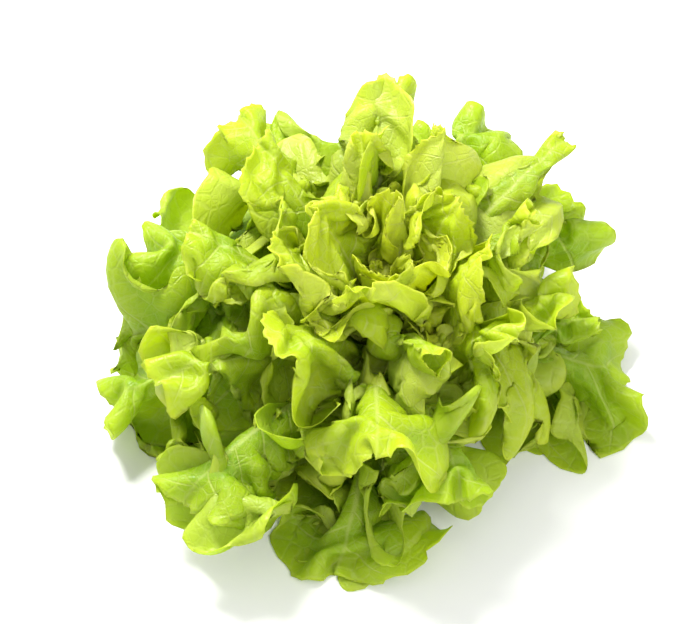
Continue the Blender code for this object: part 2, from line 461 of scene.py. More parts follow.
    def outline(self, side: int, t: Array) -> Array:
        """The margin's points (..., 2) on one side.

        Args:
            side: -1 or 1.
            t: Places from the base (0) to the apex (1).

        Returns:
            The points, across the leaf and along it.
        """
        start = self.BLADE_START
        blade = np.clip((t - self.STALK_RUN) / self.BLADE_RUN, 0, 1)
        turn = np.pi * blade
        power = between(self.FLANK_POWERS, 1.0) * blade + self.FLANK_POWERS[0] * (1 - blade)
        wide = np.sin(turn).clip(0, 1) ** power * (self.width / 2 - self.petiole * 0.5)
        stalk = self.petiole * (1 - smooth(blade / self.STALK_FADE))
        wide = wide * (1 + side * self.skew) + stalk
        rise = ((1 - np.cos(turn)) / 2) ** self.WIDEST_POWER
        along = self.length * (start * np.clip(t / self.STALK_RUN, 0, 1) + (1 - start) * rise)
        bulge = self.LOBE_BULGE * smooth(blade / self.LOBE_BULGE_RISE)
        cut = self.cut(side, np.asarray(t)) - bulge
        anchor = along - self.SINUS_LEAN * wide
        return np.stack([side * wide * (1 - cut), along + cut * (anchor - along)], axis=-1)

    def flat(self, u: Array, v: Array) -> Array:
        """The flat pattern's points at grid places.

        Args:
            u: Shares of the way from the stem to the tip.
            v: Shares of the way from the midrib to the margins, -1 to 1.

        Returns:
            The points (..., 2), across the leaf and along it.
        """
        points = np.zeros(u.shape + (2,))
        rib = np.stack([np.zeros_like(u), u * self.length], axis=-1)
        size = np.abs(v)[..., None]
        rise = u[..., None]
        for side in (-1, 1):
            flank = self.outline(side, self.CORNER * u)
            crown = self.outline(side, 1 - (1 - self.CORNER) * np.abs(v))
            base = np.stack([side * self.petiole * np.abs(v), np.zeros_like(v)], axis=-1)
            foot = np.array([side * self.petiole, 0.0])
            corner = self.outline(side, np.array(self.CORNER))
            apex = np.array([0.0, self.length])
            patch = (1 - size) * rib + size * flank + (1 - rise) * base + rise * crown
            patch -= (1 - rise) * size * foot + rise * (1 - size) * apex + rise * size * corner
            here = (v < 0) if side < 0 else (v >= 0)
            points = np.where(here[..., None], patch, points)
        return points

    def read(self, u: Array, v: Array) -> LeafField:
        """Reads the pattern on a grid.

        Args:
            u: Shares of the way from the stem to the tip.
            v: Shares of the way from the midrib to the margins, -1 to 1.

        Returns:
            The flat points, and where each of them is in the blade.
        """
        flat = self.flat(u, v)
        places = np.linspace(0, 1, self.MARGIN_POINTS)
        ring = np.concatenate([self.outline(-1, places), self.outline(1, places[::-1])])
        at = np.concatenate([places, places[::-1]])
        gap = ring[None] - flat.reshape(-1, 1, 2)
        nearest = (gap**2).sum(axis=-1).argmin(axis=1)
        gap = gap[np.arange(len(gap)), nearest]
        distance = np.linalg.norm(gap, axis=-1)
        outward = (gap / (distance[:, None] + 1e-6)).reshape(u.shape + (2,))
        edge = (np.abs(v) > self.RIM) | (u > self.RIM)
        margin = np.where(edge.ravel(), 0.0, distance).reshape(u.shape)
        outward[:, 0] = outward[:, 1]
        outward[:, -1] = outward[:, -2]
        outward[-1] = outward[-2]
        return LeafField(u, v, flat, margin, outward, at[nearest].reshape(u.shape))

    def by_side(self, field: LeafField, values: dict[int, Array]) -> Array:
        """The values of each place's own side."""
        return np.where(field.v < 0, values[-1], values[1])

    def growth(self, field: LeafField) -> Array:
        """How many times longer the blade grows at each place."""
        profile = np.interp(field.flat[..., 1] / self.length, *self.GROWTH_ALONG)
        rng = np.random.default_rng(self.seeds[0])
        uneven = 1 + self.GROWTH_UNEVEN * cloud(rng, field.flat, self.GROWTH_PATCH)
        notch = self.by_side(field, {side: self.notch(side, field.place) for side in (-1, 1)})
        hold = 1 - self.NOTCH_HOLD * notch
        local = self.shape.growth * profile * uneven.clip(*self.GROWTH_LIMITS) * hold
        return 1 + local * np.exp(-((field.margin / self.shape.growth_reach) ** self.GROWTH_FALL))

    def first_waves(self, field: LeafField) -> Array:
        """The small waves off the bowl that the margin's buckling starts from, in metres."""
        start, run = self.WAVE_RISE
        rise = np.exp(-field.margin / self.WAVE_REACH) * smooth((field.u - start) / run)
        rng = np.random.default_rng(self.seeds[1])
        return self.shape.wave * rise * cloud(rng, field.flat, self.WAVE_SIZE)

    def frills(self, field: LeafField) -> Array:
        """How much more the very edge grows, in some places only."""
        base, swing = self.FRILL_SHARES
        rng = np.random.default_rng(self.seeds[0] + 1)
        places = base + swing * cloud(rng, field.flat, self.FRILL_PATCH)
        edge = np.exp(-((field.margin / self.FRILL_BAND) ** self.GROWTH_FALL))
        return self.shape.frill * places.clip(0, 1) * edge

    def fine_waves(self, field: LeafField) -> Array:
        """Where the margin's small frills start, from -1 to 1."""
        start, run = self.FRILL_RISE
        rise = np.exp(-field.margin / self.FRILL_REACH) * smooth((field.u - start) / run)
        rng = np.random.default_rng(self.seeds[1] + 1)
        return self.shape.frill * rise * cloud(rng, field.flat, self.FRILL_SIZE)

    def curl(self, field: LeafField) -> tuple[Array, Array]:
        """The blade's own curvature along it and across it, per metre: above 0 is inwards."""
        values = {}
        for side, curls in self.curls.items():
            ends = [0.0, *(notch[0] for notch in self.notches[side]), 1.0]
            middles = (np.array(ends[1:]) + np.array(ends[:-1])) / 2
            values[side] = np.interp(field.place, middles, curls)
        near = smooth((self.CURL_REACH - field.margin) / self.CURL_BAND)
        strength = self.by_side(field, values) * near
        return strength * field.outward[..., 1] ** 2, strength * field.outward[..., 0] ** 2

    def vein_phase(self, flat: Array) -> Array:
        """A value that is whole on each side vein, from the flat pattern's points."""
        across = np.abs(flat[..., 0])
        lean = self.VEIN_LEAN * across - self.VEIN_BEND * across**2
        side_step = np.where(flat[..., 0] > 0, self.VEIN_STAGGER, 0.0)
        return (flat[..., 1] - lean) / self.VEIN_SPACING + side_step + self.vein_start


# ---- growing the leaves ------------------------------------------------------------------------


def blend_matrix(count: int, places: Array) -> Array:
    """Weights that read a smooth curve through count + 1 evenly spaced values.

    Args:
        count: How many steps the values span.
        places: Where to read, from 0 to 1.

    Returns:
        The weights (places, count + 1) of a Catmull-Rom spline.
    """
    weights = np.zeros((len(places), count + 1))
    for row, place in enumerate(places * count):
        left = min(int(place), count - 1)
        t = place - left
        spline = (
            -0.5 * t + t * t - 0.5 * t**3,
            1 - 2.5 * t * t + 1.5 * t**3,
            0.5 * t + 2 * t * t - 1.5 * t**3,
            -0.5 * t * t + 0.5 * t**3,
        )
        for offset, weight in zip((-1, 0, 1, 2), spline):
            column = left + offset
            if column < 0:
                weights[row, 0] += 2 * weight
                weights[row, 1] -= weight
            elif column > count:
                weights[row, count] += 2 * weight
                weights[row, count - 1] -= weight
            else:
                weights[row, column] += weight
    return weights


def resample(sheets: Array, u: Array, v: Array) -> Array:
    """Reads sheets (leaves, rows, columns, n) at new rows u and columns v, both from 0 to 1."""
    rows = blend_matrix(sheets.shape[1] - 1, u)
    columns = blend_matrix(sheets.shape[2] - 1, v)
    taller = np.einsum("ki,lijc->lkjc", rows, sheets, optimize=True)
    return np.einsum("mj,lkjc->lkmc", columns, taller, optimize=True)


def grid(rows: int, columns: int) -> tuple[Array, Array]:
    """Even u and v grids (rows + 1, columns + 1)."""
    u = np.linspace(0, 1, rows + 1)[:, None] * np.ones((1, columns + 1))
    v = np.linspace(-1, 1, columns + 1)[None, :] * np.ones((rows + 1, 1))
    return u, v


def sheet_normals(sheets: Array) -> Array:
    """Unit normals of sheets (leaves, rows, columns, 3), on the leaves' upper side."""
    along = np.gradient(sheets, axis=1)
    across = np.gradient(sheets, axis=2)
    normals = np.cross(along, across)
    return normals / (np.linalg.norm(normals, axis=-1, keepdims=True) + 1e-12)


def near_pairs(points: Array, radius: float) -> tuple[Array, Array]:
    """Pairs of points closer than radius, by sorting them into cells of that size.

    Args:
        points: The points (n, 3).
        radius: The distance, in metres.

    Returns:
        The two points' indices of every pair.
    """
    cell = np.floor(points / radius).astype(np.int64)
    cell -= cell.min(axis=0)
    span = int(cell.max()) + 4
    key = (cell[:, 0] * span + cell[:, 1]) * span + cell[:, 2]
    order = np.argsort(key, kind="stable")
    key = key[order]
    placed = points[order]
    index = np.arange(len(points))

    def pairs_at(offset: tuple[int, int]) -> tuple[Array, Array]:
        """Pairs between each point and the nearby cells at this offset in x and y."""
        shift = (offset[0] * span + offset[1]) * span
        low = np.searchsorted(key, key + shift - 1, "left")
        high = np.searchsorted(key, key + shift + 1, "right")
        if offset == (0, 0):
            low = np.maximum(low, index + 1)
        count = high - low
        first, second = [], []
        for step in range(int(count.max())):
            chosen = np.nonzero(count > step)[0]
            other = low[chosen] + step
            gap = placed[other] - placed[chosen]
            close = (gap * gap).sum(axis=1) < radius * radius
            first.append(order[chosen[close]])
            second.append(order[other[close]])
        return np.concatenate(first), np.concatenate(second)

    offsets = ((0, 0), (0, 1), (1, -1), (1, 0), (1, 1))
    with ThreadPoolExecutor(WORKERS) as pool:
        found = list(pool.map(pairs_at, offsets))
    return np.concatenate([f[0] for f in found]), np.concatenate([f[1] for f in found])


@dataclass
class GrowthStage:
    """How one stage of the growth runs."""

    rows: int
    columns: int
    steps: int
    growth_from: float   # share of the growth at the start and at the end
    growth_to: float
    bend: float          # how strongly the sheet keeps its own curvature
    contact: float       # how close two sheets may come, in metres
    contact_every: int   # steps between one parting of contacts and the next
    damping: float
    fastest: float       # the longest move in a step, in metres
    fine_wave: float     # depth of the small frills' first waves, in metres
    frill: float         # share of the frills' growth


class GrowthBed:
    """All the leaves' sheets, growing together."""

    FLOOR = 0.0006
    GRAVITY = 0.00002        # drop in a step, in metres
    STRETCH = 0.9            # share of a stretch or shear that a pull mends
    SHEAR = 0.45
    CONTACT_SHARE = 0.92
    CONTACT_PUSH = 0.8
    OWN_CONTACT = 2.2        # parts of one leaf nearer than this many contacts don't push
    PROUD = 0.012            # how far the sheets may stand out of the frame's box
    ROLL = 0.00010
    ROLL_RISE = (0.2, 0.5)
    EASE = 0.04
    CORNER_EASE = 0.3
    GROWING = 0.75           # share of a stage's steps in which its growth happens
    RIB_WIDTH = 0.008
    RIB_HOLD = 0.6           # how much less the midrib moves, up to RIB_RUN of the length
    RIB_RUN = 1.3
    RIB_PULL = 0.03          # share of the way back to its bowl in a step
    RIB_STIFFNESS = 6
    BASE_HOLD = (0.05, 0.22)

    def __init__(self, patterns: list[LeafPattern], bowls: list[Bowl]) -> None:
        """Keeps the leaves, with no sheet yet."""
        self.patterns = patterns
        self.bowls = bowls
        self.sheets: Array | None = None
        rng = np.random.default_rng(GROWTH_SEED)
        self.rolls = rng.uniform(-1.0, 1.0, len(patterns)) * self.ROLL
        self.low = np.array(CAD_BOX[0]) - self.PROUD
        self.high = np.array(CAD_BOX[1]) + self.PROUD

    def lay_out(self, stage: GrowthStage) -> None:
        """Reads the patterns on the stage's grid, and lays them on their bowls."""
        u, v = grid(stage.rows, stage.columns)
        fields = [pattern.read(u, v) for pattern in self.patterns]
        starts = [bowl.lay(field.flat, self.FLOOR) for bowl, field in zip(self.bowls, fields)]
        growths = [p.growth(field) for p, field in zip(self.patterns, fields)]
        curls = [p.curl(field) for p, field in zip(self.patterns, fields)]
        kind = np.float32
        self.flat = np.array([field.flat for field in fields], kind)
        self.start = np.array(starts, kind)
        self.growth = np.array(growths, kind)
        frills = [p.frills(field) for p, field in zip(self.patterns, fields)]
        self.frills = np.array(frills, kind)
        rib = np.exp(-((self.flat[..., 0] / self.RIB_WIDTH) ** 2))
        base = smooth((u - self.BASE_HOLD[0]) / self.BASE_HOLD[1])[None]
        low = np.clip(self.RIB_RUN - u, 0, 1)[None]
        self.mobility = (base * (1 - self.RIB_HOLD * rib * low)).astype(kind)
        self.hold = (self.RIB_PULL * rib * base).astype(kind)[..., None]
        self.stiffness = (1 + self.RIB_STIFFNESS * rib).astype(kind)
        roll = smooth((u - self.ROLL_RISE[0]) / self.ROLL_RISE[1])
        self.lift = (self.rolls[:, None, None] * v * roll).astype(kind)
        self.flat_along = np.linalg.norm(np.diff(self.flat, axis=1), axis=-1)
        self.flat_across = np.linalg.norm(np.diff(self.flat, axis=2), axis=-1)
        self.flat_rising = np.linalg.norm(self.flat[:, 1:, 1:] - self.flat[:, :-1, :-1], axis=-1)
        self.flat_falling = np.linalg.norm(self.flat[:, 1:, :-1] - self.flat[:, :-1, 1:], axis=-1)
        normals = sheet_normals(self.start)
        self.bend_along = self.bulge(self.start, normals, 1)
        self.bend_across = self.bulge(self.start, normals, 2)
        step = (self.flat_along[:, 1:] + self.flat_along[:, :-1]) / 2
        along = np.array([curl[0] for curl in curls], kind)[:, 1:-1]
        self.bend_along += (along * step**2 / 2)[..., None]
        step = (self.flat_across[:, :, 1:] + self.flat_across[:, :, :-1]) / 2
        across = np.array([curl[1] for curl in curls], kind)[:, :, 1:-1]
        self.bend_across += (across * step**2 / 2)[..., None]
        count = (stage.rows + 1) * (stage.columns + 1)
        self.leaf_of = np.repeat(np.arange(len(self.patterns)), count)
        if self.sheets is None:
            waves = [p.first_waves(field) for p, field in zip(self.patterns, fields)]
            moved = (np.array(waves, kind) * self.mobility)[..., None] * normals
            self.sheets = (self.start + moved).astype(kind)
        else:
            places = np.linspace(0, 1, stage.rows + 1), np.linspace(0, 1, stage.columns + 1)
            sheets = resample(self.sheets, *places)
            waves = [p.fine_waves(field) for p, field in zip(self.patterns, fields)]
            moved = stage.fine_wave * np.array(waves, kind) * self.mobility
            self.sheets = (sheets + moved[..., None] * sheet_normals(sheets)).astype(kind)

    @staticmethod
    def bulge(sheets: Array, normals: Array, axis: int) -> Array:
        """How far the mean of each point's two neighbours is above it.

        Args:
            sheets: The leaves' points.
            normals: Their unit normals.
            axis: 1 for the neighbours along the leaf, 2 for those across it.

        Returns:
            The heights (..., 1), without the first and the last row or column.
        """
        if axis == 1:
            mean = (sheets[:, 2:] + sheets[:, :-2]) / 2 - sheets[:, 1:-1]
            return (mean * normals[:, 1:-1]).sum(axis=-1, keepdims=True)
        mean = (sheets[:, :, 2:] + sheets[:, :, :-2]) / 2 - sheets[:, :, 1:-1]
        return (mean * normals[:, :, 1:-1]).sum(axis=-1, keepdims=True)

    def grow_to(self, share: float, frill: float) -> None:
        """Sets the lengths that the sheets' edges tend to.

        Args:
            share: Share of the blade's growth.
            frill: Share of the frills' growth.
        """
        grown = 1 + (self.growth - 1) * share + self.frills * frill
        self.rest_along = self.flat_along * (grown[:, 1:] + grown[:, :-1]) / 2
        self.rest_across = self.flat_across * (grown[:, :, 1:] + grown[:, :, :-1]) / 2
        tall = (self.rest_along[:, :, 1:] + self.rest_along[:, :, :-1]) / 2
        wide = (self.rest_across[:, 1:] + self.rest_across[:, :-1]) / 2
        flat_tall = (self.flat_along[:, :, 1:] + self.flat_along[:, :, :-1]) / 2
        flat_wide = (self.flat_across[:, 1:] + self.flat_across[:, :-1]) / 2
        lean = (self.flat_rising**2 - self.flat_falling**2) / (4 * flat_tall * flat_wide)
        square = tall * tall + wide * wide
        skew = 2 * tall * wide * lean
        self.rest_rising = np.sqrt(np.maximum(square + skew, 1e-12))
        self.rest_falling = np.sqrt(np.maximum(square - skew, 1e-12))

    @staticmethod
    def pull(
        first: Array, second: Array, rest: Array, share: float, free_a: Array, free_b: Array
    ) -> None:
        """Moves two sets of points, in place, towards their rest distance.

        Args:
            first: One end of each pair.
            second: The other end of each pair.
            rest: The distances that they tend to.
            share: Share of the difference that is mended.
            free_a: How freely the first ends move, 0 to 1.
            free_b: How freely the second ends move, 0 to 1.
        """
        gap = second - first
        length = np.sqrt((gap * gap).sum(axis=-1)) + 1e-12
        pull = (share * (1 - rest / length) / (free_a + free_b + 1e-9))[..., None] * gap
        first += pull * free_a[..., None]
        second -= pull * free_b[..., None]

    def relax(self, part: slice, bend: float, times: int) -> None:
        """Relaxes the stretch, shear and bending of some of the leaves, in place.

        Args:
            part: Which leaves.
            bend: How strongly they keep their own curvature.
            times: How many rounds are done.
        """
        sheets, free = self.sheets[part], self.mobility[part]
        along, across = self.rest_along[part], self.rest_across[part]
        rising, falling = self.rest_rising[part], self.rest_falling[part]
        rows, columns = sheets.shape[1], sheets.shape[2]
        for _ in range(times):
            for odd in (0, 1):
                a = slice(odd, odd + 2 * ((rows - odd) // 2), 2)
                b = slice(odd + 1, odd + 2 * ((rows - odd) // 2), 2)
                self.pull(
                    sheets[:, a], sheets[:, b], along[:, a],
                    self.STRETCH, free[:, a], free[:, b],
                )
                self.pull(
                    sheets[:, a, :-1], sheets[:, b, 1:], rising[:, a],
                    self.SHEAR, free[:, a, :-1], free[:, b, 1:],
                )
                self.pull(
                    sheets[:, a, 1:], sheets[:, b, :-1], falling[:, a],
                    self.SHEAR, free[:, a, 1:], free[:, b, :-1],
                )
            for odd in (0, 1):
                a = slice(odd, odd + 2 * ((columns - odd) // 2), 2)
                b = slice(odd + 1, odd + 2 * ((columns - odd) // 2), 2)
                self.pull(
                    sheets[:, :, a], sheets[:, :, b], across[:, :, a],
                    self.STRETCH, free[:, :, a], free[:, :, b],
                )
            self.unbend(part, bend)

    def unbend(self, part: slice, bend: float) -> None:
        """Moves some of the leaves towards their own curvature, in place."""
        sheets, free = self.sheets[part], self.mobility[part][..., None]
        normals = sheet_normals(sheets)
        sheets += normals * self.lift[part][..., None] * free
        stiff = self.stiffness[part][:, 1:-1, :, None].clip(0, 1 / bend)
        off = self.bulge(sheets, normals, 1) - self.bend_along[part]
        move = bend * stiff * off * normals[:, 1:-1]
        sheets[:, 1:-1] += 0.5 * move * free[:, 1:-1]
        sheets[:, 2:] -= 0.25 * move * free[:, 2:]
        sheets[:, :-2] -= 0.25 * move * free[:, :-2]
        off = self.bulge(sheets, normals, 2) - self.bend_across[part]
        move = bend * off * normals[:, :, 1:-1]
        sheets[:, :, 1:-1] += 0.5 * move * free[:, :, 1:-1]
        sheets[:, :, 2:] -= 0.25 * move * free[:, :, 2:]
        sheets[:, :, :-2] -= 0.25 * move * free[:, :, :-2]

    def ease_margins(self) -> None:
        """Takes the sharp points off the margins."""
        for rim in (self.sheets[:, 4:, 0], self.sheets[:, 4:, -1], self.sheets[:, -1]):
            rim[:, 1:-1] += self.EASE * ((rim[:, 2:] + rim[:, :-2]) / 2 - rim[:, 1:-1])
        for side, inner in ((0, 1), (-1, -2)):
            mean = (self.sheets[:, -1, inner] + self.sheets[:, -2, side]) / 2
            self.sheets[:, -1, side] += self.CORNER_EASE * (mean - self.sheets[:, -1, side])

    def part_contacts(self, radius: float) -> None:
        """Moves apart the places where sheets come closer than radius, in metres."""
        points = self.sheets.reshape(-1, 3)
        start = self.start.reshape(-1, 3)
        flat = self.flat.reshape(-1, 2)
        free = self.mobility.reshape(-1)
        first, second = near_pairs(points, radius)
        own = self.leaf_of[first] == self.leaf_of[second]
        apart = ((flat[first] - flat[second]) ** 2).sum(axis=1) > (self.OWN_CONTACT * radius) ** 2
        kept = (~own | apart) & (free[first] + free[second] > 0)
        first, second, own = first[kept], second[kept], own[kept]
        begun = np.linalg.norm(start[first] - start[second], axis=1)
        least = np.where(own, radius, np.minimum(radius, self.CONTACT_SHARE * begun))
        gap = points[second] - points[first]
        length = np.linalg.norm(gap, axis=1) + 1e-9
        close = length < least
        first, second = first[close], second[close]
        short = self.CONTACT_PUSH * (least - length)[close]
        push = gap[close] / length[close][:, None] * short[:, None]
        share = free[second] / (free[first] + free[second] + 1e-9)
        count = len(points)
        meets = np.bincount(first, minlength=count) + np.bincount(second, minlength=count)
        for axis in range(3):
            moved = np.bincount(second, push[:, axis] * share, count)
            moved -= np.bincount(first, push[:, axis] * (1 - share), count)
            points[:, axis] += moved / np.sqrt(np.maximum(meets, 1))

    def run(self, stage: GrowthStage) -> None:
        """Grows the sheets through one stage."""
        self.lay_out(stage)
        leaves = len(self.patterns)
        parts = [slice(i * leaves // WORKERS, (i + 1) * leaves // WORKERS) for i in range(WORKERS)]
        before = self.sheets.copy()
        free = self.mobility[..., None]
        with ThreadPoolExecutor(WORKERS) as pool:
            for step in range(stage.steps):
                share = smooth(step / (stage.steps * self.GROWING))
                grown = stage.growth_from + (stage.growth_to - stage.growth_from) * share
                self.grow_to(grown, stage.frill * share)
                moved = (self.sheets - before) * stage.damping
                before = self.sheets.copy()
                speed = np.linalg.norm(moved, axis=-1, keepdims=True) + 1e-9
                self.sheets += moved * free * np.minimum(1, stage.fastest / speed)
                self.sheets[..., 2] -= self.GRAVITY * self.mobility
                list(pool.map(lambda part: self.relax(part, stage.bend, 2), parts))
                self.sheets += self.hold * (self.start - self.sheets)
                self.ease_margins()
                if step % stage.contact_every == stage.contact_every - 1:
                    self.part_contacts(stage.contact)
                np.clip(self.sheets, self.low, self.high, out=self.sheets)
                self.sheets[..., 2] = np.maximum(self.sheets[..., 2], self.FLOOR)


FULL_GROWTH = (
    GrowthStage(
        rows=46, columns=34, steps=180, growth_from=0.0, growth_to=1.0, bend=0.25, contact=0.0050,
        contact_every=3, damping=0.90, fastest=0.0020, fine_wave=0.0, frill=0.0,
    ),
    GrowthStage(
        rows=92, columns=68, steps=45, growth_from=1.0, growth_to=1.05, bend=0.15, contact=0.0028,
        contact_every=5, damping=0.85, fastest=0.0010, fine_wave=0.0018, frill=0.8,
    ),
)


# ---- from grown sheets to leaf meshes ----------------------------------------------------------


@dataclass(frozen=True)
class LeafSkin:
    """The fine surface of the leaves: grid, wall, ribs, blisters and teeth, in metres."""

    rows: int = 132
    columns: int = 90
    crowding: float = 0.60           # how much closer the columns stand by the margins
    wall: float = 0.00045
    rib_height: tuple[float, float] = (0.0034, 0.0018)
    rib_width: tuple[float, float] = (0.0050, 0.0026)
    rib_narrowing: float = 0.78      # share of its width that the midrib loses towards the tip
    rib_least: float = 0.0003        # height of the midrib at the tip
    rib_groove: float = 0.4          # how much of the midrib's height shows above, before the share
    vein_height: float = 0.00035
    vein_width: float = 0.0011
    vein_widths: tuple[float, float] = (1.3, 0.7)      # inside the blade, less by the margin
    vein_start: tuple[float, float] = (0.12, 0.12)     # where the side veins rise, in lengths
    vein_end: float = 0.006
    groove_share: float = 0.25
    swelling_size: float = 0.010
    swellings: tuple[float, float, float] = (0.9, 1.3, 0.5)   # arches, then uneven ones
    swelling_edges: tuple[float, float, float] = (0.004, 0.010, 0.010)
    tooth: float = 0.0032
    tooth_spacing: float = 0.0050
    tooth_reach: float = 0.0030
    tooth_rise: tuple[float, float] = (0.3, 0.2)
    tooth_sway: tuple[float, float] = (0.6, 0.013)
    tooth_sizes: tuple[float, float, float] = (0.65, 0.35, 0.011)
    tooth_middle: float = 0.4
    margin_run: float = 1.6          # the margin's run, in leaf lengths
    margin_reach: float = 0.012

    def rows_and_columns(self) -> tuple[Array, Array]:
        """The grid's u (0 to 1) and v (-1 to 1), closest by the midrib and the margins."""
        u = np.linspace(0, 1, self.rows + 1)
        even = np.linspace(-1, 1, self.columns + 1)
        size = np.abs(even)
        return u, np.sign(even) * (size - self.crowding * np.sin(2 * np.pi * size) / (2 * np.pi))

    def side_veins(self, pattern: LeafPattern, field: LeafField) -> Array:
        """1 on a side vein, falling to 0 beside it."""
        phase = pattern.vein_phase(field.flat)
        off = np.abs(phase - np.round(phase)) * pattern.VEIN_SPACING
        inner, loss = self.vein_widths
        width = self.vein_width * (inner - loss * self.across(field.margin))
        start, run = self.vein_start
        fade = smooth((field.flat[..., 1] / pattern.length - start) / run)
        return np.exp(-((off / width) ** 2)) * fade * smooth(field.margin / self.vein_end)

    def rib(self, pattern: LeafPattern, flat: Array) -> tuple[Array, Array]:
        """The midrib on a leaf.

        Args:
            pattern: The leaf's pattern.
            flat: The flat points.

        Returns:
            Its cross-section, from 1 on its line to 0 beside it, and its height.
        """
        rank = pattern.leaf.rank
        u = (flat[..., 1] / pattern.length).clip(0, 1)
        width = between(self.rib_width, rank) * (1 - self.rib_narrowing * u)
        height = between(self.rib_height, rank) * (1 - smooth(u)) + self.rib_least
        return np.exp(-((flat[..., 0] / width) ** 2)), height

    def finish(self, pattern: LeafPattern, sheet: Array) -> dict[str, Array]:
        """Gives one leaf's sheet its blisters and teeth.

        Args:
            pattern: The leaf's pattern.
            sheet: Its grown points (rows, columns, 3) on this skin's grid.

        Returns:
            The points and what the wall and the finish read at each of them.
        """
        rows, columns = self.rows_and_columns()
        u = rows[:, None] * np.ones_like(columns)[None]
        v = columns[None] * np.ones_like(rows)[:, None]
        field = pattern.read(u, v)
        flat, margin = field.flat, field.margin
        veins = self.side_veins(pattern, field)
        rib, rib_height = self.rib(pattern, flat)
        phase = pattern.vein_phase(flat)
        rng = np.random.default_rng(GROWTH_SEED * 31 + pattern.leaf.index)
        swelling = self.swelling(pattern, field, rng)
        points = sheet + sheet_normals(sheet[None])[0] * swelling[..., None]
        near = smooth(1 - margin / self.tooth_reach)
        near = near * smooth((u - self.tooth_rise[0]) / self.tooth_rise[1])
        run = field.place * pattern.length * self.margin_run + np.where(v < 0, 0.5, 0.0)
        points = points + self.outward(field, sheet) * (self.teeth(rng, run) * near)[..., None]
        ridge = rib * rib_height + veins * self.vein_height
        points[..., 2] = np.maximum(points[..., 2], self.wall / 2 + ridge)
        groove = rib * rib_height * self.rib_groove + veins * self.vein_height
        return {
            "points": points,
            "flat": flat,
            "phase": phase,
            "across": self.across(margin),
            "margin": margin,
            "rib": rib * (1 - 0.4 * u),
            "ridge": ridge,
            "groove": groove * self.groove_share,
        }

    def swelling(
        self, pattern: LeafPattern, field: LeafField, rng: np.random.Generator
    ) -> Array:
        """How far the blade swells up between its veins, in metres."""
        arch_share, cloud_share, unevenness = self.swellings
        rib_edge, rib_rise, margin_rise = self.swelling_edges
        arch = 0.5 - 0.5 * np.cos(2 * np.pi * pattern.vein_phase(field.flat))
        uneven = unevenness * cloud(rng, field.flat, self.swelling_size)
        blade = smooth((np.abs(field.flat[..., 0]) - rib_edge) / rib_rise)
        blade = blade * smooth(field.margin / margin_rise)
        height = pattern.shape.blister * pattern.pucker
        return height * blade * (arch_share * arch + cloud_share * uneven)

    @staticmethod
    def outward(field: LeafField, sheet: Array) -> Array:
        """Unit vectors along the sheet, towards the nearest margin."""
        across = np.gradient(sheet, axis=1) * np.sign(field.v)[..., None]
        across /= np.linalg.norm(across, axis=-1, keepdims=True) + 1e-12
        along = np.gradient(sheet, axis=0)
        along /= np.linalg.norm(along, axis=-1, keepdims=True) + 1e-12
        size = field.outward[..., 0] ** 2
        out = across * size[..., None] + along * (1 - size)[..., None]
        return out / (np.linalg.norm(out, axis=-1, keepdims=True) + 1e-12)

    def across(self, margin: Array) -> Array:
        """0 well inside the blade, rising to 1 at the margin."""
        return np.exp(-margin / self.margin_reach)

    def teeth(self, rng: np.random.Generator, run: Array) -> Array:
        """How far the margin stands out at each place of its run: small uneven teeth."""
        sway, sway_run = self.tooth_sway
        mean, swing, size_run = self.tooth_sizes
        full_turn = 6.3
        place = run / self.tooth_spacing + sway * np.sin(run / sway_run + rng.uniform(0, full_turn))
        place += rng.uniform()
        saw = place - np.floor(place)
        size = mean + swing * np.sin(run / size_run + rng.uniform(0, full_turn))
        return self.tooth * (saw**2 - self.tooth_middle) * size


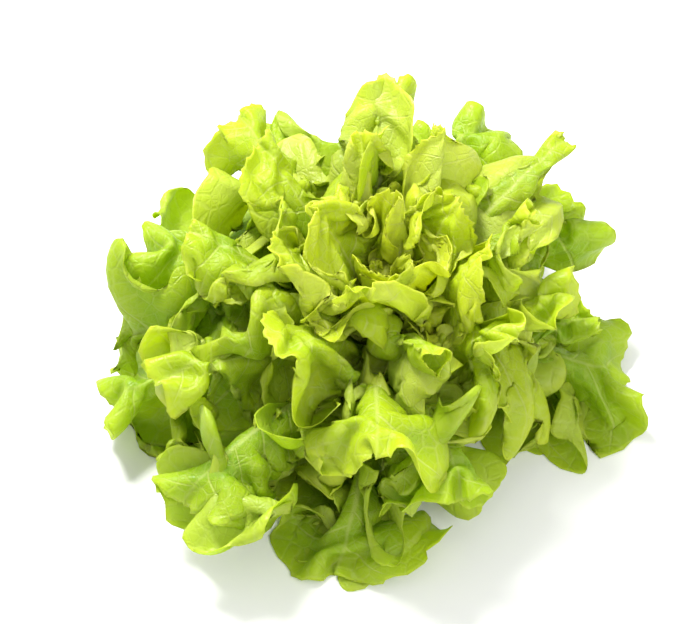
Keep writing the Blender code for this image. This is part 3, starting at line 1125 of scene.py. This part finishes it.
class NodeKit:
    """Short calls for the nodes of one tree."""

    def __init__(self, tree: bpy.types.NodeTree) -> None:
        """Keeps the tree."""
        self.tree = tree

    def node(self, kind: str) -> bpy.types.Node:
        """A new node of this kind."""
        return self.tree.nodes.new(kind)

    def put(self, socket: bpy.types.NodeSocket, value: object) -> None:
        """Links a socket, or sets its value."""
        if isinstance(value, bpy.types.NodeSocket):
            self.tree.links.new(value, socket)
        else:
            socket.default_value = value

    def maths(self, operation: str, *values: object) -> bpy.types.NodeSocket:
        """The result of a Math node."""
        node = self.node("ShaderNodeMath")
        node.operation = operation
        for socket, value in zip(node.inputs, values):
            self.put(socket, value)
        return node.outputs[0]

    def span(
        self, value: object, low: float, high: float, to_low: float, to_high: float
    ) -> bpy.types.NodeSocket:
        """A value carried smoothly from one span to another, and held at its ends.

        Args:
            value: The value or its socket.
            low: Where the span starts.
            high: Where the span ends.
            to_low: The result at low and before it.
            to_high: The result at high and after it.

        Returns:
            The result's socket.
        """
        node = self.node("ShaderNodeMapRange")
        node.interpolation_type = "SMOOTHSTEP"
        for socket, given in zip(node.inputs, (value, low, high, to_low, to_high)):
            self.put(socket, given)
        return node.outputs[0]

    def mix(self, factor: object, first: object, second: object) -> bpy.types.NodeSocket:
        """Two colours mixed."""
        node = self.node("ShaderNodeMix")
        node.data_type = "RGBA"
        colours = [socket for socket in node.inputs if socket.type == "RGBA"]
        for socket, value in zip((node.inputs[0], *colours), (factor, first, second)):
            self.put(socket, value)
        return next(socket for socket in node.outputs if socket.type == "RGBA")

    def noise(
        self, vector: object, scale: object, detail: float, roughness: float = 0.5
    ) -> bpy.types.NodeSocket:
        """A Noise Texture's value."""
        node = self.node("ShaderNodeTexNoise")
        given = {"Vector": vector, "Scale": scale, "Detail": detail, "Roughness": roughness}
        for label, value in given.items():
            self.put(node.inputs[label], value)
        return node.outputs[0]

    def attribute(self, name: str) -> bpy.types.NodeSocket:
        """A float attribute of the piece."""
        node = self.node("ShaderNodeAttribute")
        node.attribute_name = name
        return node.outputs["Fac"]

    def uv(self, name: str) -> bpy.types.NodeSocket:
        """One of the piece's UV maps."""
        node = self.node("ShaderNodeUVMap")
        node.uv_map = name
        return node.outputs[0]

    def bump(self, strength: float, distance: float, height: object) -> bpy.types.NodeSocket:
        """A Bump node's normal."""
        node = self.node("ShaderNodeBump")
        node.inputs["Strength"].default_value = strength
        node.inputs["Distance"].default_value = distance
        self.put(node.inputs["Height"], height)
        return node.outputs[0]


class LeafWallTree:
    """Geometry Nodes that turn a leaf's middle surface into a closed wall with ribs."""

    SEAM = 0.000001

    def __init__(self) -> None:
        """Builds the tree once for all the leaves."""
        self.tree = bpy.data.node_groups.new("leaf_wall", "GeometryNodeTree")
        self.kit = kit = NodeKit(self.tree)
        self.socket("Leaf", "NodeSocketGeometry")
        self.thickness = self.socket("Thickness", "NodeSocketFloat")
        self.relief = self.socket("Relief", "NodeSocketFloat")
        self.seam = self.socket("Seam", "NodeSocketFloat")
        self.finish = self.socket("Finish", "NodeSocketMaterial")
        self.tree.interface.new_socket("Wall", in_out="OUTPUT", socket_type="NodeSocketGeometry")
        given = kit.node("NodeGroupInput").outputs
        half = kit.maths("MULTIPLY", given["Thickness"], 0.5)
        under = kit.maths("ADD", half, self.field("ridge", given["Relief"]))
        upper = kit.maths("SUBTRACT", half, self.field("groove", given["Relief"]))
        capture = kit.node("GeometryNodeCaptureAttribute")
        capture.capture_items.new("VECTOR", "Normal")
        capture.capture_items.new("FLOAT", "Wall")
        kit.put(capture.inputs[0], given["Leaf"])
        kit.put(capture.inputs["Normal"], kit.node("GeometryNodeInputNormal").outputs[0])
        kit.put(capture.inputs["Wall"], kit.maths("ADD", under, upper))
        lower = kit.node("GeometryNodeSetPosition")
        kit.put(lower.inputs["Geometry"], capture.outputs[0])
        down = kit.maths("MULTIPLY", under, -1.0)
        kit.put(lower.inputs["Offset"], self.scaled(capture.outputs["Normal"], down))
        side = kit.node("GeometryNodeExtrudeMesh")
        kit.put(side.inputs["Individual"], False)
        kit.put(side.inputs["Offset Scale"], 0.0)
        kit.put(side.inputs["Mesh"], lower.outputs[0])
        raised = kit.node("GeometryNodeSetPosition")
        kit.put(raised.inputs["Geometry"], side.outputs["Mesh"])
        kit.put(raised.inputs["Selection"], side.outputs["Top"])
        up = self.scaled(capture.outputs["Normal"], capture.outputs["Wall"])
        kit.put(raised.inputs["Offset"], up)
        turned = self.step("GeometryNodeFlipFaces", lower.outputs[0])
        marked = kit.node("GeometryNodeStoreNamedAttribute")
        marked.data_type, marked.domain = "FLOAT", "FACE"
        kit.put(marked.inputs["Name"], "underside")
        kit.put(marked.inputs["Value"], 1.0)
        kit.put(marked.inputs["Geometry"], turned)
        joined = kit.node("GeometryNodeJoinGeometry")
        kit.put(joined.inputs[0], marked.outputs[0])
        kit.put(joined.inputs[0], raised.outputs[0])
        whole = joined.outputs[0]
        merged = self.step("GeometryNodeMergeByDistance", whole, given["Seam"], "Distance")
        shaded = self.step("GeometryNodeSetShadeSmooth", merged)
        real = self.step("GeometryNodeRealizeInstances", shaded)
        painted = self.step("GeometryNodeSetMaterial", real, given["Finish"], "Material")
        kit.put(kit.node("NodeGroupOutput").inputs[0], painted)

    def socket(self, name: str, kind: str) -> bpy.types.NodeTreeInterfaceSocket:
        """A new named input of the tree."""
        return self.tree.interface.new_socket(name, in_out="INPUT", socket_type=kind)

    def step(
        self, kind: str, given: bpy.types.NodeSocket, value: object = None, label: str = ""
    ) -> bpy.types.NodeSocket:
        """A node that changes the geometry.

        Args:
            kind: The node's type.
            given: The geometry it takes.
            value: What another of its inputs takes, if any.
            label: The name of that input.

        Returns:
            The geometry it gives.
        """
        node = self.kit.node(kind)
        self.kit.put(node.inputs[0], given)
        if label:
            self.kit.put(node.inputs[label], value)
        return node.outputs[0]

    def field(self, name: str, factor: bpy.types.NodeSocket) -> bpy.types.NodeSocket:
        """A float attribute of the mesh, times a factor."""
        node = self.kit.node("GeometryNodeInputNamedAttribute")
        node.data_type = "FLOAT"
        node.inputs["Name"].default_value = name
        return self.kit.maths("MULTIPLY", node.outputs["Attribute"], factor)

    def scaled(
        self, vector: bpy.types.NodeSocket, factor: bpy.types.NodeSocket
    ) -> bpy.types.NodeSocket:
        """A vector times a factor."""
        node = self.kit.node("ShaderNodeVectorMath")
        node.operation = "SCALE"
        self.kit.put(node.inputs[0], vector)
        self.kit.put(node.inputs["Scale"], factor)
        return node.outputs[0]

    def wall(self, obj: bpy.types.Object, thickness: float, finish: bpy.types.Material) -> None:
        """Turns the object's mesh into a closed wall.

        Args:
            obj: The leaf, with its middle surface as its mesh.
            thickness: The blade's thickness in metres.
            finish: The material that the wall gets.
        """
        modifier = obj.modifiers.new("wall", "NODES")
        modifier.node_group = self.tree
        modifier[self.thickness.identifier] = thickness
        modifier[self.relief.identifier] = 1.0
        modifier[self.seam.identifier] = self.SEAM
        modifier[self.finish.identifier] = finish
        graph = bpy.context.evaluated_depsgraph_get()
        made = bpy.data.meshes.new_from_object(obj.evaluated_get(graph))
        obj.modifiers.clear()
        old = obj.data
        obj.data = made
        bpy.data.meshes.remove(old)
        made.name = obj.name


# ---- finishes ----------------------------------------------------------------------------------


class ShaderGroup:
    """A shader node group with named inputs and outputs, built once."""

    def __init__(
        self, name: str, inputs: dict[str, tuple[str, object]], outputs: tuple[str, ...]
    ) -> None:
        """Makes the group's sockets.

        Args:
            name: The group's name.
            inputs: Each input's kind and value.
            outputs: The names of its outputs, all floats.
        """
        self.tree = bpy.data.node_groups.new(name, "ShaderNodeTree")
        for label, (kind, value) in inputs.items():
            socket = self.tree.interface.new_socket(label, in_out="INPUT", socket_type=kind)
            if value is not None:
                socket.default_value = value
        for label in outputs:
            self.tree.interface.new_socket(label, in_out="OUTPUT", socket_type="NodeSocketFloat")
        self.given = self.tree.nodes.new("NodeGroupInput")
        self.out = self.tree.nodes.new("NodeGroupOutput")

    def place(self, tree: bpy.types.NodeTree, **values: object) -> bpy.types.Node:
        """Places the group in a material.

        Args:
            tree: The material's tree.
            values: Values or sockets for inputs, by their names in small letters.

        Returns:
            The group's node.
        """
        kit = NodeKit(tree)
        node = kit.node("ShaderNodeGroup")
        node.node_tree = self.tree
        for label, value in values.items():
            kit.put(node.inputs[label.replace("_", " ").title()], value)
        return node


def vein_group() -> ShaderGroup:
    """The veins: whole values of the phase are side veins, and a net lies between them."""
    group = ShaderGroup(
        "leaf_veins",
        {
            "Phase": ("NodeSocketFloat", 0.0),
            "Across": ("NodeSocketFloat", 0.0),
            "Flat": ("NodeSocketVector", None),
            "Line Width": ("NodeSocketFloat", 0.034),
            "Net Scale": ("NodeSocketFloat", 20.0),
        },
        ("Side Veins", "Net", "Fine Net"),
    )
    kit = NodeKit(group.tree)
    given = group.given.outputs
    bend_scale, bend_detail, bend_size = 2.6, 2.0, 0.55
    bend = kit.noise(given["Flat"], bend_scale, bend_detail)
    bend = kit.maths("MULTIPLY", kit.maths("SUBTRACT", bend, 0.5), bend_size)
    phase = kit.maths("ADD", given["Phase"], bend)
    off = kit.maths("ABSOLUTE", kit.maths("SUBTRACT", phase, kit.maths("ROUND", phase)))
    narrowing = kit.span(given["Across"], 0.0, 1.0, 1.5, 0.35)
    width = kit.maths("MULTIPLY", given["Line Width"], narrowing)
    line = kit.span(kit.maths("DIVIDE", off, width), 0.35, 1.0, 1.0, 0.0)
    fade = kit.span(given["Across"], 0.78, 1.0, 1.0, 0.15)
    kit.put(group.out.inputs["Side Veins"], kit.maths("MULTIPLY", line, fade))
    for label, times, low, high in (("Net", 1.0, 0.01, 0.08), ("Fine Net", 3.1, 0.03, 0.14)):
        cells = kit.node("ShaderNodeTexVoronoi")
        cells.feature = "DISTANCE_TO_EDGE"
        kit.put(cells.inputs["Vector"], given["Flat"])
        kit.put(cells.inputs["Scale"], kit.maths("MULTIPLY", given["Net Scale"], times))
        line = kit.span(cells.outputs["Distance"], low, high, 1.0, 0.0)
        kit.put(group.out.inputs[label], line)
    return group


def mottle_group() -> ShaderGroup:
    """Cloudy colour: broad patches and small flecks."""
    group = ShaderGroup(
        "mottling",
        {
            "Vector": ("NodeSocketVector", None),
            "Patch Scale": ("NodeSocketFloat", 3.0),
            "Fleck Scale": ("NodeSocketFloat", 40.0),
        },
        ("Patches", "Flecks"),
    )
    kit = NodeKit(group.tree)
    given = group.given.outputs
    patches = kit.noise(given["Vector"], given["Patch Scale"], 3.0, 0.55)
    flecks = kit.noise(given["Vector"], given["Fleck Scale"], 4.0, 0.65)
    kit.put(group.out.inputs["Patches"], kit.span(patches, 0.30, 0.70, 0.0, 1.0))
    kit.put(group.out.inputs["Flecks"], kit.span(flecks, 0.35, 0.70, 0.0, 1.0))
    return group


@dataclass(frozen=True)
class LeafFinish:
    """The colours and surface of a zone's leaves."""

    blade: Triple
    deep: Triple
    margin: Triple
    vein: Triple
    underside: Triple
    glow: Triple
    roughness: float = 0.34
    roughness_flecks: float = 0.12
    specular: float = 0.42
    through: float = 0.48       # share of the light that goes through the blade
    through_veins: float = 0.7
    # rim: a painted highlight, the pale margin colour laid along the blade's outermost edge where
    # it would catch the light
    rim: tuple[float, float, float] = (0.0002, 0.0016, 0.65)   # from, to (metres), and strength
    margin_tint: tuple[float, float, float] = (0.0, 0.012, 0.40)
    fleck_share: float = 0.22
    under_share: float = 0.70
    net_share: float = 0.24
    fine_net_share: float = 0.12
    side_vein_share: float = 0.66
    rib_tint: tuple[float, float, float] = (0.25, 0.9, 0.92)
    net_relief: float = 0.6
    fine_net_relief: float = 0.3
    bump_strength: float = 0.5
    bump_distance: float = 0.0008

    def build(self, name: str, veins: ShaderGroup, mottle: ShaderGroup) -> bpy.types.Material:
        """The leaf's material: a satin blade that lets light through.

        Args:
            name: The material's name.
            veins: The vein group.
            mottle: The mottling group.

        Returns:
            The material.
        """
        made = bpy.data.materials.new(name)
        made.use_nodes = True
        tree = made.node_tree
        kit = NodeKit(tree)
        shader = tree.nodes["Principled BSDF"]
        flat = kit.uv("flat")
        lines = kit.node("ShaderNodeSeparateXYZ")
        kit.put(lines.inputs[0], kit.uv("veins"))
        vein = veins.place(tree, phase=lines.outputs[0], across=lines.outputs[1], flat=flat).outputs
        cloudy = mottle.place(tree, vector=flat).outputs
        pale = self.pale(kit, vein)
        base = self.base(kit, cloudy)
        base = kit.mix(pale, base, (*self.vein, 1))
        kit.put(shader.inputs["Base Color"], base)
        flecks = kit.maths("MULTIPLY", cloudy["Flecks"], self.roughness_flecks)
        kit.put(shader.inputs["Roughness"], kit.maths("ADD", self.roughness, flecks))
        kit.put(shader.inputs["Specular IOR Level"], self.specular)
        height = kit.maths("MULTIPLY", vein["Net"], -self.net_relief)
        fine = kit.maths("MULTIPLY", vein["Fine Net"], self.fine_net_relief)
        height = kit.maths("SUBTRACT", kit.maths("SUBTRACT", height, fine), vein["Side Veins"])
        normal = kit.bump(self.bump_strength, self.bump_distance, height)
        kit.put(shader.inputs["Normal"], normal)
        glow = kit.node("ShaderNodeBsdfTranslucent")
        veined = kit.maths("MULTIPLY", pale, self.through_veins)
        kit.put(glow.inputs["Color"], kit.mix(veined, (*self.glow, 1), (*self.vein, 1)))
        both = kit.node("ShaderNodeMixShader")
        for socket, value in zip(both.inputs, (self.through, shader.outputs[0], glow.outputs[0])):
            kit.put(socket, value)
        kit.put(tree.nodes["Material Output"].inputs["Surface"], both.outputs[0])
        return made

    def base(self, kit: NodeKit, cloudy: bpy.types.NodeOutputs) -> bpy.types.NodeSocket:
        """The blade's colour without its veins: mottled, with its underside, its paler margins and
        a painted highlight along the very edge.
        """
        base = kit.mix(cloudy["Patches"], (*self.deep, 1), (*self.blade, 1))
        flecks = kit.maths("MULTIPLY", cloudy["Flecks"], self.fleck_share)
        base = kit.mix(flecks, base, (*self.margin, 1))
        under = kit.maths("MULTIPLY", kit.attribute("underside"), self.under_share)
        base = kit.mix(under, base, (*self.underside, 1))
        edge = kit.attribute("margin")
        # The broad margin tint is the leaf's own paler margin; the narrow rim on top of it is a
        # painted highlight.
        margin = kit.maths(
            "MAXIMUM", kit.span(edge, *self.rim, 0.0), kit.span(edge, *self.margin_tint, 0.0)
        )
        return kit.mix(margin, base, (*self.margin, 1))

    def pale(self, kit: NodeKit, vein: bpy.types.NodeOutputs) -> bpy.types.NodeSocket:
        """How pale the veins and the midrib make each place."""
        net = kit.maths("MULTIPLY", vein["Net"], self.net_share)
        fine = kit.maths("MULTIPLY", vein["Fine Net"], self.fine_net_share)
        line = kit.maths("MULTIPLY", vein["Side Veins"], self.side_vein_share)
        low, high, share = self.rib_tint
        rib = kit.span(kit.attribute("rib"), low, high, 0.0, share)
        lines = kit.maths("MAXIMUM", kit.maths("ADD", net, fine), line)
        return kit.maths("MAXIMUM", lines, rib)


LEAF_FINISHES = {
    Zone.OUTER: LeafFinish(
        blade=(0.39, 0.53, 0.003), deep=(0.18, 0.36, 0.002), margin=(0.64, 0.72, 0.040),
        vein=(0.65, 0.74, 0.17), underside=(0.53, 0.63, 0.09), glow=(0.66, 0.84, 0.003),
    ),
    Zone.MIDDLE: LeafFinish(
        blade=(0.46, 0.59, 0.004), deep=(0.25, 0.43, 0.003), margin=(0.70, 0.76, 0.050),
        vein=(0.70, 0.77, 0.20), underside=(0.58, 0.66, 0.11), glow=(0.75, 0.87, 0.004),
    ),
    Zone.INNER: LeafFinish(
        blade=(0.54, 0.65, 0.007), deep=(0.34, 0.51, 0.004), margin=(0.78, 0.81, 0.065),
        vein=(0.76, 0.80, 0.22), underside=(0.64, 0.70, 0.13), glow=(0.82, 0.91, 0.006),
    ),
    Zone.HEART: LeafFinish(
        blade=(0.61, 0.70, 0.011), deep=(0.40, 0.56, 0.006), margin=(0.83, 0.84, 0.080),
        vein=(0.80, 0.83, 0.24), underside=(0.68, 0.73, 0.15), glow=(0.87, 0.93, 0.009),
    ),
}


# ---- the leaves as pieces ----------------------------------------------------------------------


@dataclass
class LeafHead:
    """All the leaves of the head."""

    plan: HeadPlan
    skin: LeafSkin

    MAP_SCALE = 10
    MAP_STEP = np.array([3.7, 1.9])   # between one leaf's map and the next

    def build(self) -> list[bpy.types.Object]:
        """Grows the leaves and makes a piece of each.

        Returns:
            The leaves' objects, outermost first.
        """
        leaves = plan_leaves(self.plan)
        patterns = [LeafPattern(leaf, self.plan) for leaf in leaves]
        bowls = [Bowl(leaf, self.plan) for leaf in leaves]
        bed = GrowthBed(patterns, bowls)
        for stage in FULL_GROWTH:
            bed.run(stage)
            LOG.info("grown on %d by %d steps", stage.rows, stage.columns)
        u, v = self.skin.rows_and_columns()
        sheets = resample(bed.sheets.astype(float), u, (v + 1) / 2)
        tree = LeafWallTree()
        veins, mottle = vein_group(), mottle_group()
        finishes = {
            zone: finish.build(f"{zone.value}_finish", veins, mottle)
            for zone, finish in LEAF_FINISHES.items()
        }
        pieces = []
        for pattern, sheet in zip(patterns, sheets):
            piece = self.mesh(pattern, self.skin.finish(pattern, sheet))
            tree.wall(piece, self.skin.wall, finishes[pattern.leaf.zone])
            self.dress(piece, pattern.leaf)
            LOG.info("leaf %s: %d faces", piece.name, len(piece.data.polygons))
            pieces.append(piece)
        return pieces

    def mesh(self, pattern: LeafPattern, parts: dict[str, Array]) -> bpy.types.Object:
        """The leaf's middle surface, with its attributes and UV maps.

        Args:
            pattern: The leaf's pattern.
            parts: The points and values that the skin gave.

        Returns:
            The leaf's object, not yet a closed wall.
        """
        points = parts["points"]
        rows, columns = points.shape[:2]
        index = np.arange(rows * columns).reshape(rows, columns)
        corners = [index[:-1, :-1], index[1:, :-1], index[1:, 1:], index[:-1, 1:]]
        faces = np.stack([c.ravel() for c in corners], axis=-1)
        mesh = bpy.data.meshes.new(pattern.leaf.piece)
        mesh.vertices.add(rows * columns)
        mesh.vertices.foreach_set("co", points.reshape(-1).astype(np.float32))
        mesh.loops.add(faces.size)
        mesh.loops.foreach_set("vertex_index", faces.ravel().astype(np.int32))
        mesh.polygons.add(len(faces))
        mesh.polygons.foreach_set("loop_start", np.arange(0, faces.size, 4, dtype=np.int32))
        mesh.update(calc_edges=True)
        mesh.shade_smooth()
        for name in ("margin", "rib", "ridge", "groove"):
            values = mesh.attributes.new(name, "FLOAT", "POINT")
            values.data.foreach_set("value", parts[name].ravel().astype(np.float32))
        maps = {
            "flat": parts["flat"] * self.MAP_SCALE + pattern.leaf.index * self.MAP_STEP,
            "veins": np.stack([parts["phase"], parts["across"]], axis=-1),
        }
        for name, values in maps.items():
            values = values.reshape(-1, 2)[faces.ravel()].astype(np.float32)
            mesh.uv_layers.new(name=name).data.foreach_set("uv", values.ravel())
        piece = bpy.data.objects.new(pattern.leaf.piece, mesh)
        bpy.context.scene.collection.objects.link(piece)
        return piece

    def dress(self, piece: bpy.types.Object, leaf: LeafPlan) -> None:
        """Puts the leaf on its body, in place of its plain solid."""
        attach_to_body(piece, "root")
        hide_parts(leaf.node)


# ---- the stem ----------------------------------------------------------------------------------


@dataclass(frozen=True)
class StemFinish:
    """The colours of the stem and its cut face."""

    skin: Triple = (0.62, 0.72, 0.36)
    pith: Triple = (0.78, 0.80, 0.58)
    browned: Triple = (0.42, 0.24, 0.10)
    cut_brown: float = 0.25        # how browned the cut face is, and how much more its ring
    ring_brown: float = 0.55
    roughness: tuple[float, float] = (0.42, 0.62)
    bump_strength: float = 0.4
    bump_distance: float = 0.0004

    def build(self, mottle: ShaderGroup) -> bpy.types.Material:
        """The stem's material, browned on the cut face.

        Args:
            mottle: The mottling group.

        Returns:
            The material.
        """
        made = bpy.data.materials.new("stem_finish")
        made.use_nodes = True
        tree = made.node_tree
        kit = NodeKit(tree)
        shader = tree.nodes["Principled BSDF"]
        place = tree.nodes.new("ShaderNodeTexCoord").outputs["Object"]
        cloudy = mottle.place(tree, vector=place, patch_scale=60.0, fleck_scale=420.0).outputs
        base = kit.mix(cloudy["Patches"], (*self.skin, 1), (*self.pith, 1))
        ring = kit.maths("MULTIPLY", kit.attribute("ring"), self.ring_brown)
        brown = kit.maths("MULTIPLY", kit.attribute("cut"), kit.maths("ADD", self.cut_brown, ring))
        brown = kit.maths("MULTIPLY", brown, kit.span(cloudy["Flecks"], 0.0, 1.0, 0.5, 1.0))
        base = kit.mix(brown, base, (*self.browned, 1))
        kit.put(shader.inputs["Base Color"], base)
        rough = kit.span(cloudy["Flecks"], 0.0, 1.0, *self.roughness)
        kit.put(shader.inputs["Roughness"], rough)
        normal = kit.bump(self.bump_strength, self.bump_distance, cloudy["Flecks"])
        kit.put(shader.inputs["Normal"], normal)
        return made


@dataclass
class Stem:
    """The short stem with its cut face, grooved where leaves stood."""

    plan: HeadPlan
    sides: int = 96
    levels: int = 34
    chamfer: float = 0.0012
    face_rings: tuple[float, ...] = (0.15, 0.42, 0.52, 0.62, 0.80)   # shares of the radius
    dome_turns: tuple[float, ...] = (25.0, 50.0, 75.0)
    ridges: int = 5
    ridge_depth: float = 0.0005
    ridge_twist: float = 260.0       # radians per metre of height
    ridge_ends: tuple[float, float] = (0.004, 0.006)
    ring_place: float = 0.55         # the browned ring, as shares of the radius
    ring_width: float = 0.10

    def profile(self) -> list[tuple[float, float]]:
        """The stem's distances from its axis and heights, from the cut face's middle to the tip."""
        low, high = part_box("stem_core")
        radius = (high.x - low.x) / 2
        chamfer, height = self.chamfer, self.plan.stem_height
        levels = np.linspace(chamfer, height, self.levels)[1:]
        tip, dome = self.plan.stem_tip_radius, high.z - height
        turns = np.radians(self.dome_turns)
        return [
            (0.0, 0.0),
            *((share * radius, 0.0) for share in self.face_rings),
            (radius - chamfer, 0.0),
            (radius - 0.3 * chamfer, 0.3 * chamfer),
            (radius, chamfer),
            *((self.plan.stem_radius_at(level), level) for level in levels),
            *((tip * math.cos(a), height + dome * math.sin(a)) for a in turns),
            (0.0, high.z),
        ]

    def build(self, mottle: ShaderGroup) -> bpy.types.Object:
        """Turns the stem's profile and grooves it.

        Args:
            mottle: The mottling group, for the finish.

        Returns:
            The stem's object.
        """
        profile = self.profile()
        rings, top = profile[1:-1], profile[-1][1]
        radius = max(distance for distance, _ in rings)
        angles = np.linspace(0, 2 * np.pi, self.sides, endpoint=False)
        points, cut, ring = [(0.0, 0.0, 0.0)], [1.0], [0.0]
        for distance, height in rings:
            low_end = smooth((height - self.chamfer) / self.ridge_ends[0])
            depth = self.ridge_depth * float(low_end * smooth((top - height) / self.ridge_ends[1]))
            for angle in angles:
                groove = math.sin(self.ridges * angle + height * self.ridge_twist) * depth
                reach = distance - abs(groove)
                points.append((reach * math.cos(angle), reach * math.sin(angle), height))
                cut.append(1.0 if height == 0.0 else 0.0)
                off = (distance / radius - self.ring_place) / self.ring_width
                ring.append(float(np.exp(-(off**2))))
        points.append((0.0, 0.0, top))
        cut.append(0.0)
        ring.append(0.0)
        mesh = bpy.data.meshes.new("cut_stem")
        mesh.from_pydata(points, [], self.faces(len(rings), len(points) - 1))
        mesh.shade_smooth()
        for name, values in (("cut", cut), ("ring", ring)):
            mesh.attributes.new(name, "FLOAT", "POINT").data.foreach_set("value", values)
        mesh.materials.append(StemFinish().build(mottle))
        piece = bpy.data.objects.new("cut_stem", mesh)
        bpy.context.scene.collection.objects.link(piece)
        self.dress(piece)
        LOG.info("stem: %d faces", len(mesh.polygons))
        return piece

    def faces(self, rings: int, last: int) -> list[tuple[int, ...]]:
        """The faces between the rings, and the fans at both ends.

        Args:
            rings: How many rings of points there are, after the first point.
            last: The index of the point at the tip.

        Returns:
            Each face's points, turned outwards.
        """
        faces: list[tuple[int, ...]] = []
        for k in range(self.sides):
            after = (k + 1) % self.sides
            faces.append((0, 1 + after, 1 + k))
            for row in range(rings - 1):
                start = 1 + row * self.sides
                above = start + self.sides
                faces.append((start + k, start + after, above + after, above + k))
            start = 1 + (rings - 1) * self.sides
            faces.append((start + k, start + after, last))
        return faces

    def dress(self, piece: bpy.types.Object) -> None:
        """Puts the stem on its body, in place of its plain solid."""
        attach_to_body(piece, "root")
        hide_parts("stem_core")


# ---- the studio --------------------------------------------------------------------------------


@dataclass(frozen=True)
class SoftLight:
    """A square soft light that looks at the head."""

    name: str
    place: Triple
    size: float
    power: float

    def build(self, target: Vector) -> None:
        """Hangs the light, turned to the target."""
        light = bpy.data.lights.new(self.name, "AREA")
        light.size = self.size
        light.energy = self.power
        obj = bpy.data.objects.new(self.name, light)
        obj.location = self.place
        obj.rotation_euler = (target - Vector(self.place)).to_track_quat("-Z", "Y").to_euler()
        bpy.context.scene.collection.objects.link(obj)


@dataclass
class Studio:
    """A pale floor, soft light and the camera."""

    elevation: float = 50.0
    distance: float = 1.25
    width: float = 0.386
    aim: Triple = (-0.0193, 0.011, 0.058)
    floor_size: float = 40.0
    floor_drop: float = 0.0002       # keeps the floor clear of the cut face
    floor_tone: float = 0.93
    floor_roughness: float = 0.9
    world_strength: float = 0.75

    def build(self) -> None:
        """Builds the floor, the lights and the camera."""
        self.floor()
        for light in (
            SoftLight("key", (-0.45, 0.55, 1.25), 0.45, 34.0),
            SoftLight("fill", (0.75, -0.85, 0.95), 0.8, 9.0),
        ):
            light.build(Vector(self.aim))
        world = bpy.data.worlds.new("studio")
        world.use_nodes = True
        sky = world.node_tree.nodes["Background"]
        sky.inputs["Color"].default_value = (1.0, 1.0, 1.0, 1.0)
        sky.inputs["Strength"].default_value = self.world_strength
        bpy.context.scene.world = world
        bpy.context.scene.view_settings.view_transform = "Standard"
        self.camera()

    def floor(self) -> None:
        """A plain pale floor."""
        half, z = self.floor_size / 2, -self.floor_drop
        corners = [(-half, -half, z), (half, -half, z), (half, half, z), (-half, half, z)]
        mesh = bpy.data.meshes.new("floor")
        mesh.from_pydata(corners, [], [(0, 1, 2, 3)])
        paint = bpy.data.materials.new("floor_paint")
        paint.use_nodes = True
        shader = paint.node_tree.nodes["Principled BSDF"]
        shader.inputs["Base Color"].default_value = (*[self.floor_tone] * 3, 1.0)
        shader.inputs["Roughness"].default_value = self.floor_roughness
        mesh.materials.append(paint)
        floor = bpy.data.objects.new("floor", mesh)
        bpy.context.scene.collection.objects.link(floor)

    def camera(self) -> None:
        """A long lens that looks down on the head from the front."""
        tilt = math.radians(self.elevation)
        back = Vector((0.0, -math.cos(tilt), math.sin(tilt)))
        data = bpy.data.cameras.new("camera")
        data.lens = data.sensor_width * self.distance / self.width
        camera = bpy.data.objects.new("camera", data)
        camera.location = Vector(self.aim) + back * self.distance
        camera.rotation_euler = (-back).to_track_quat("-Z", "Y").to_euler()
        bpy.context.scene.collection.objects.link(camera)
        bpy.context.scene.camera = camera


def main() -> None:
    """Builds the head and the studio."""
    logging.basicConfig(level=logging.INFO, format="%(message)s")
    plan = HeadPlan()
    Stem(plan).build(mottle_group())
    LeafHead(plan, LeafSkin()).build()
    Studio().build()


if __name__ == "__main__":
    main()
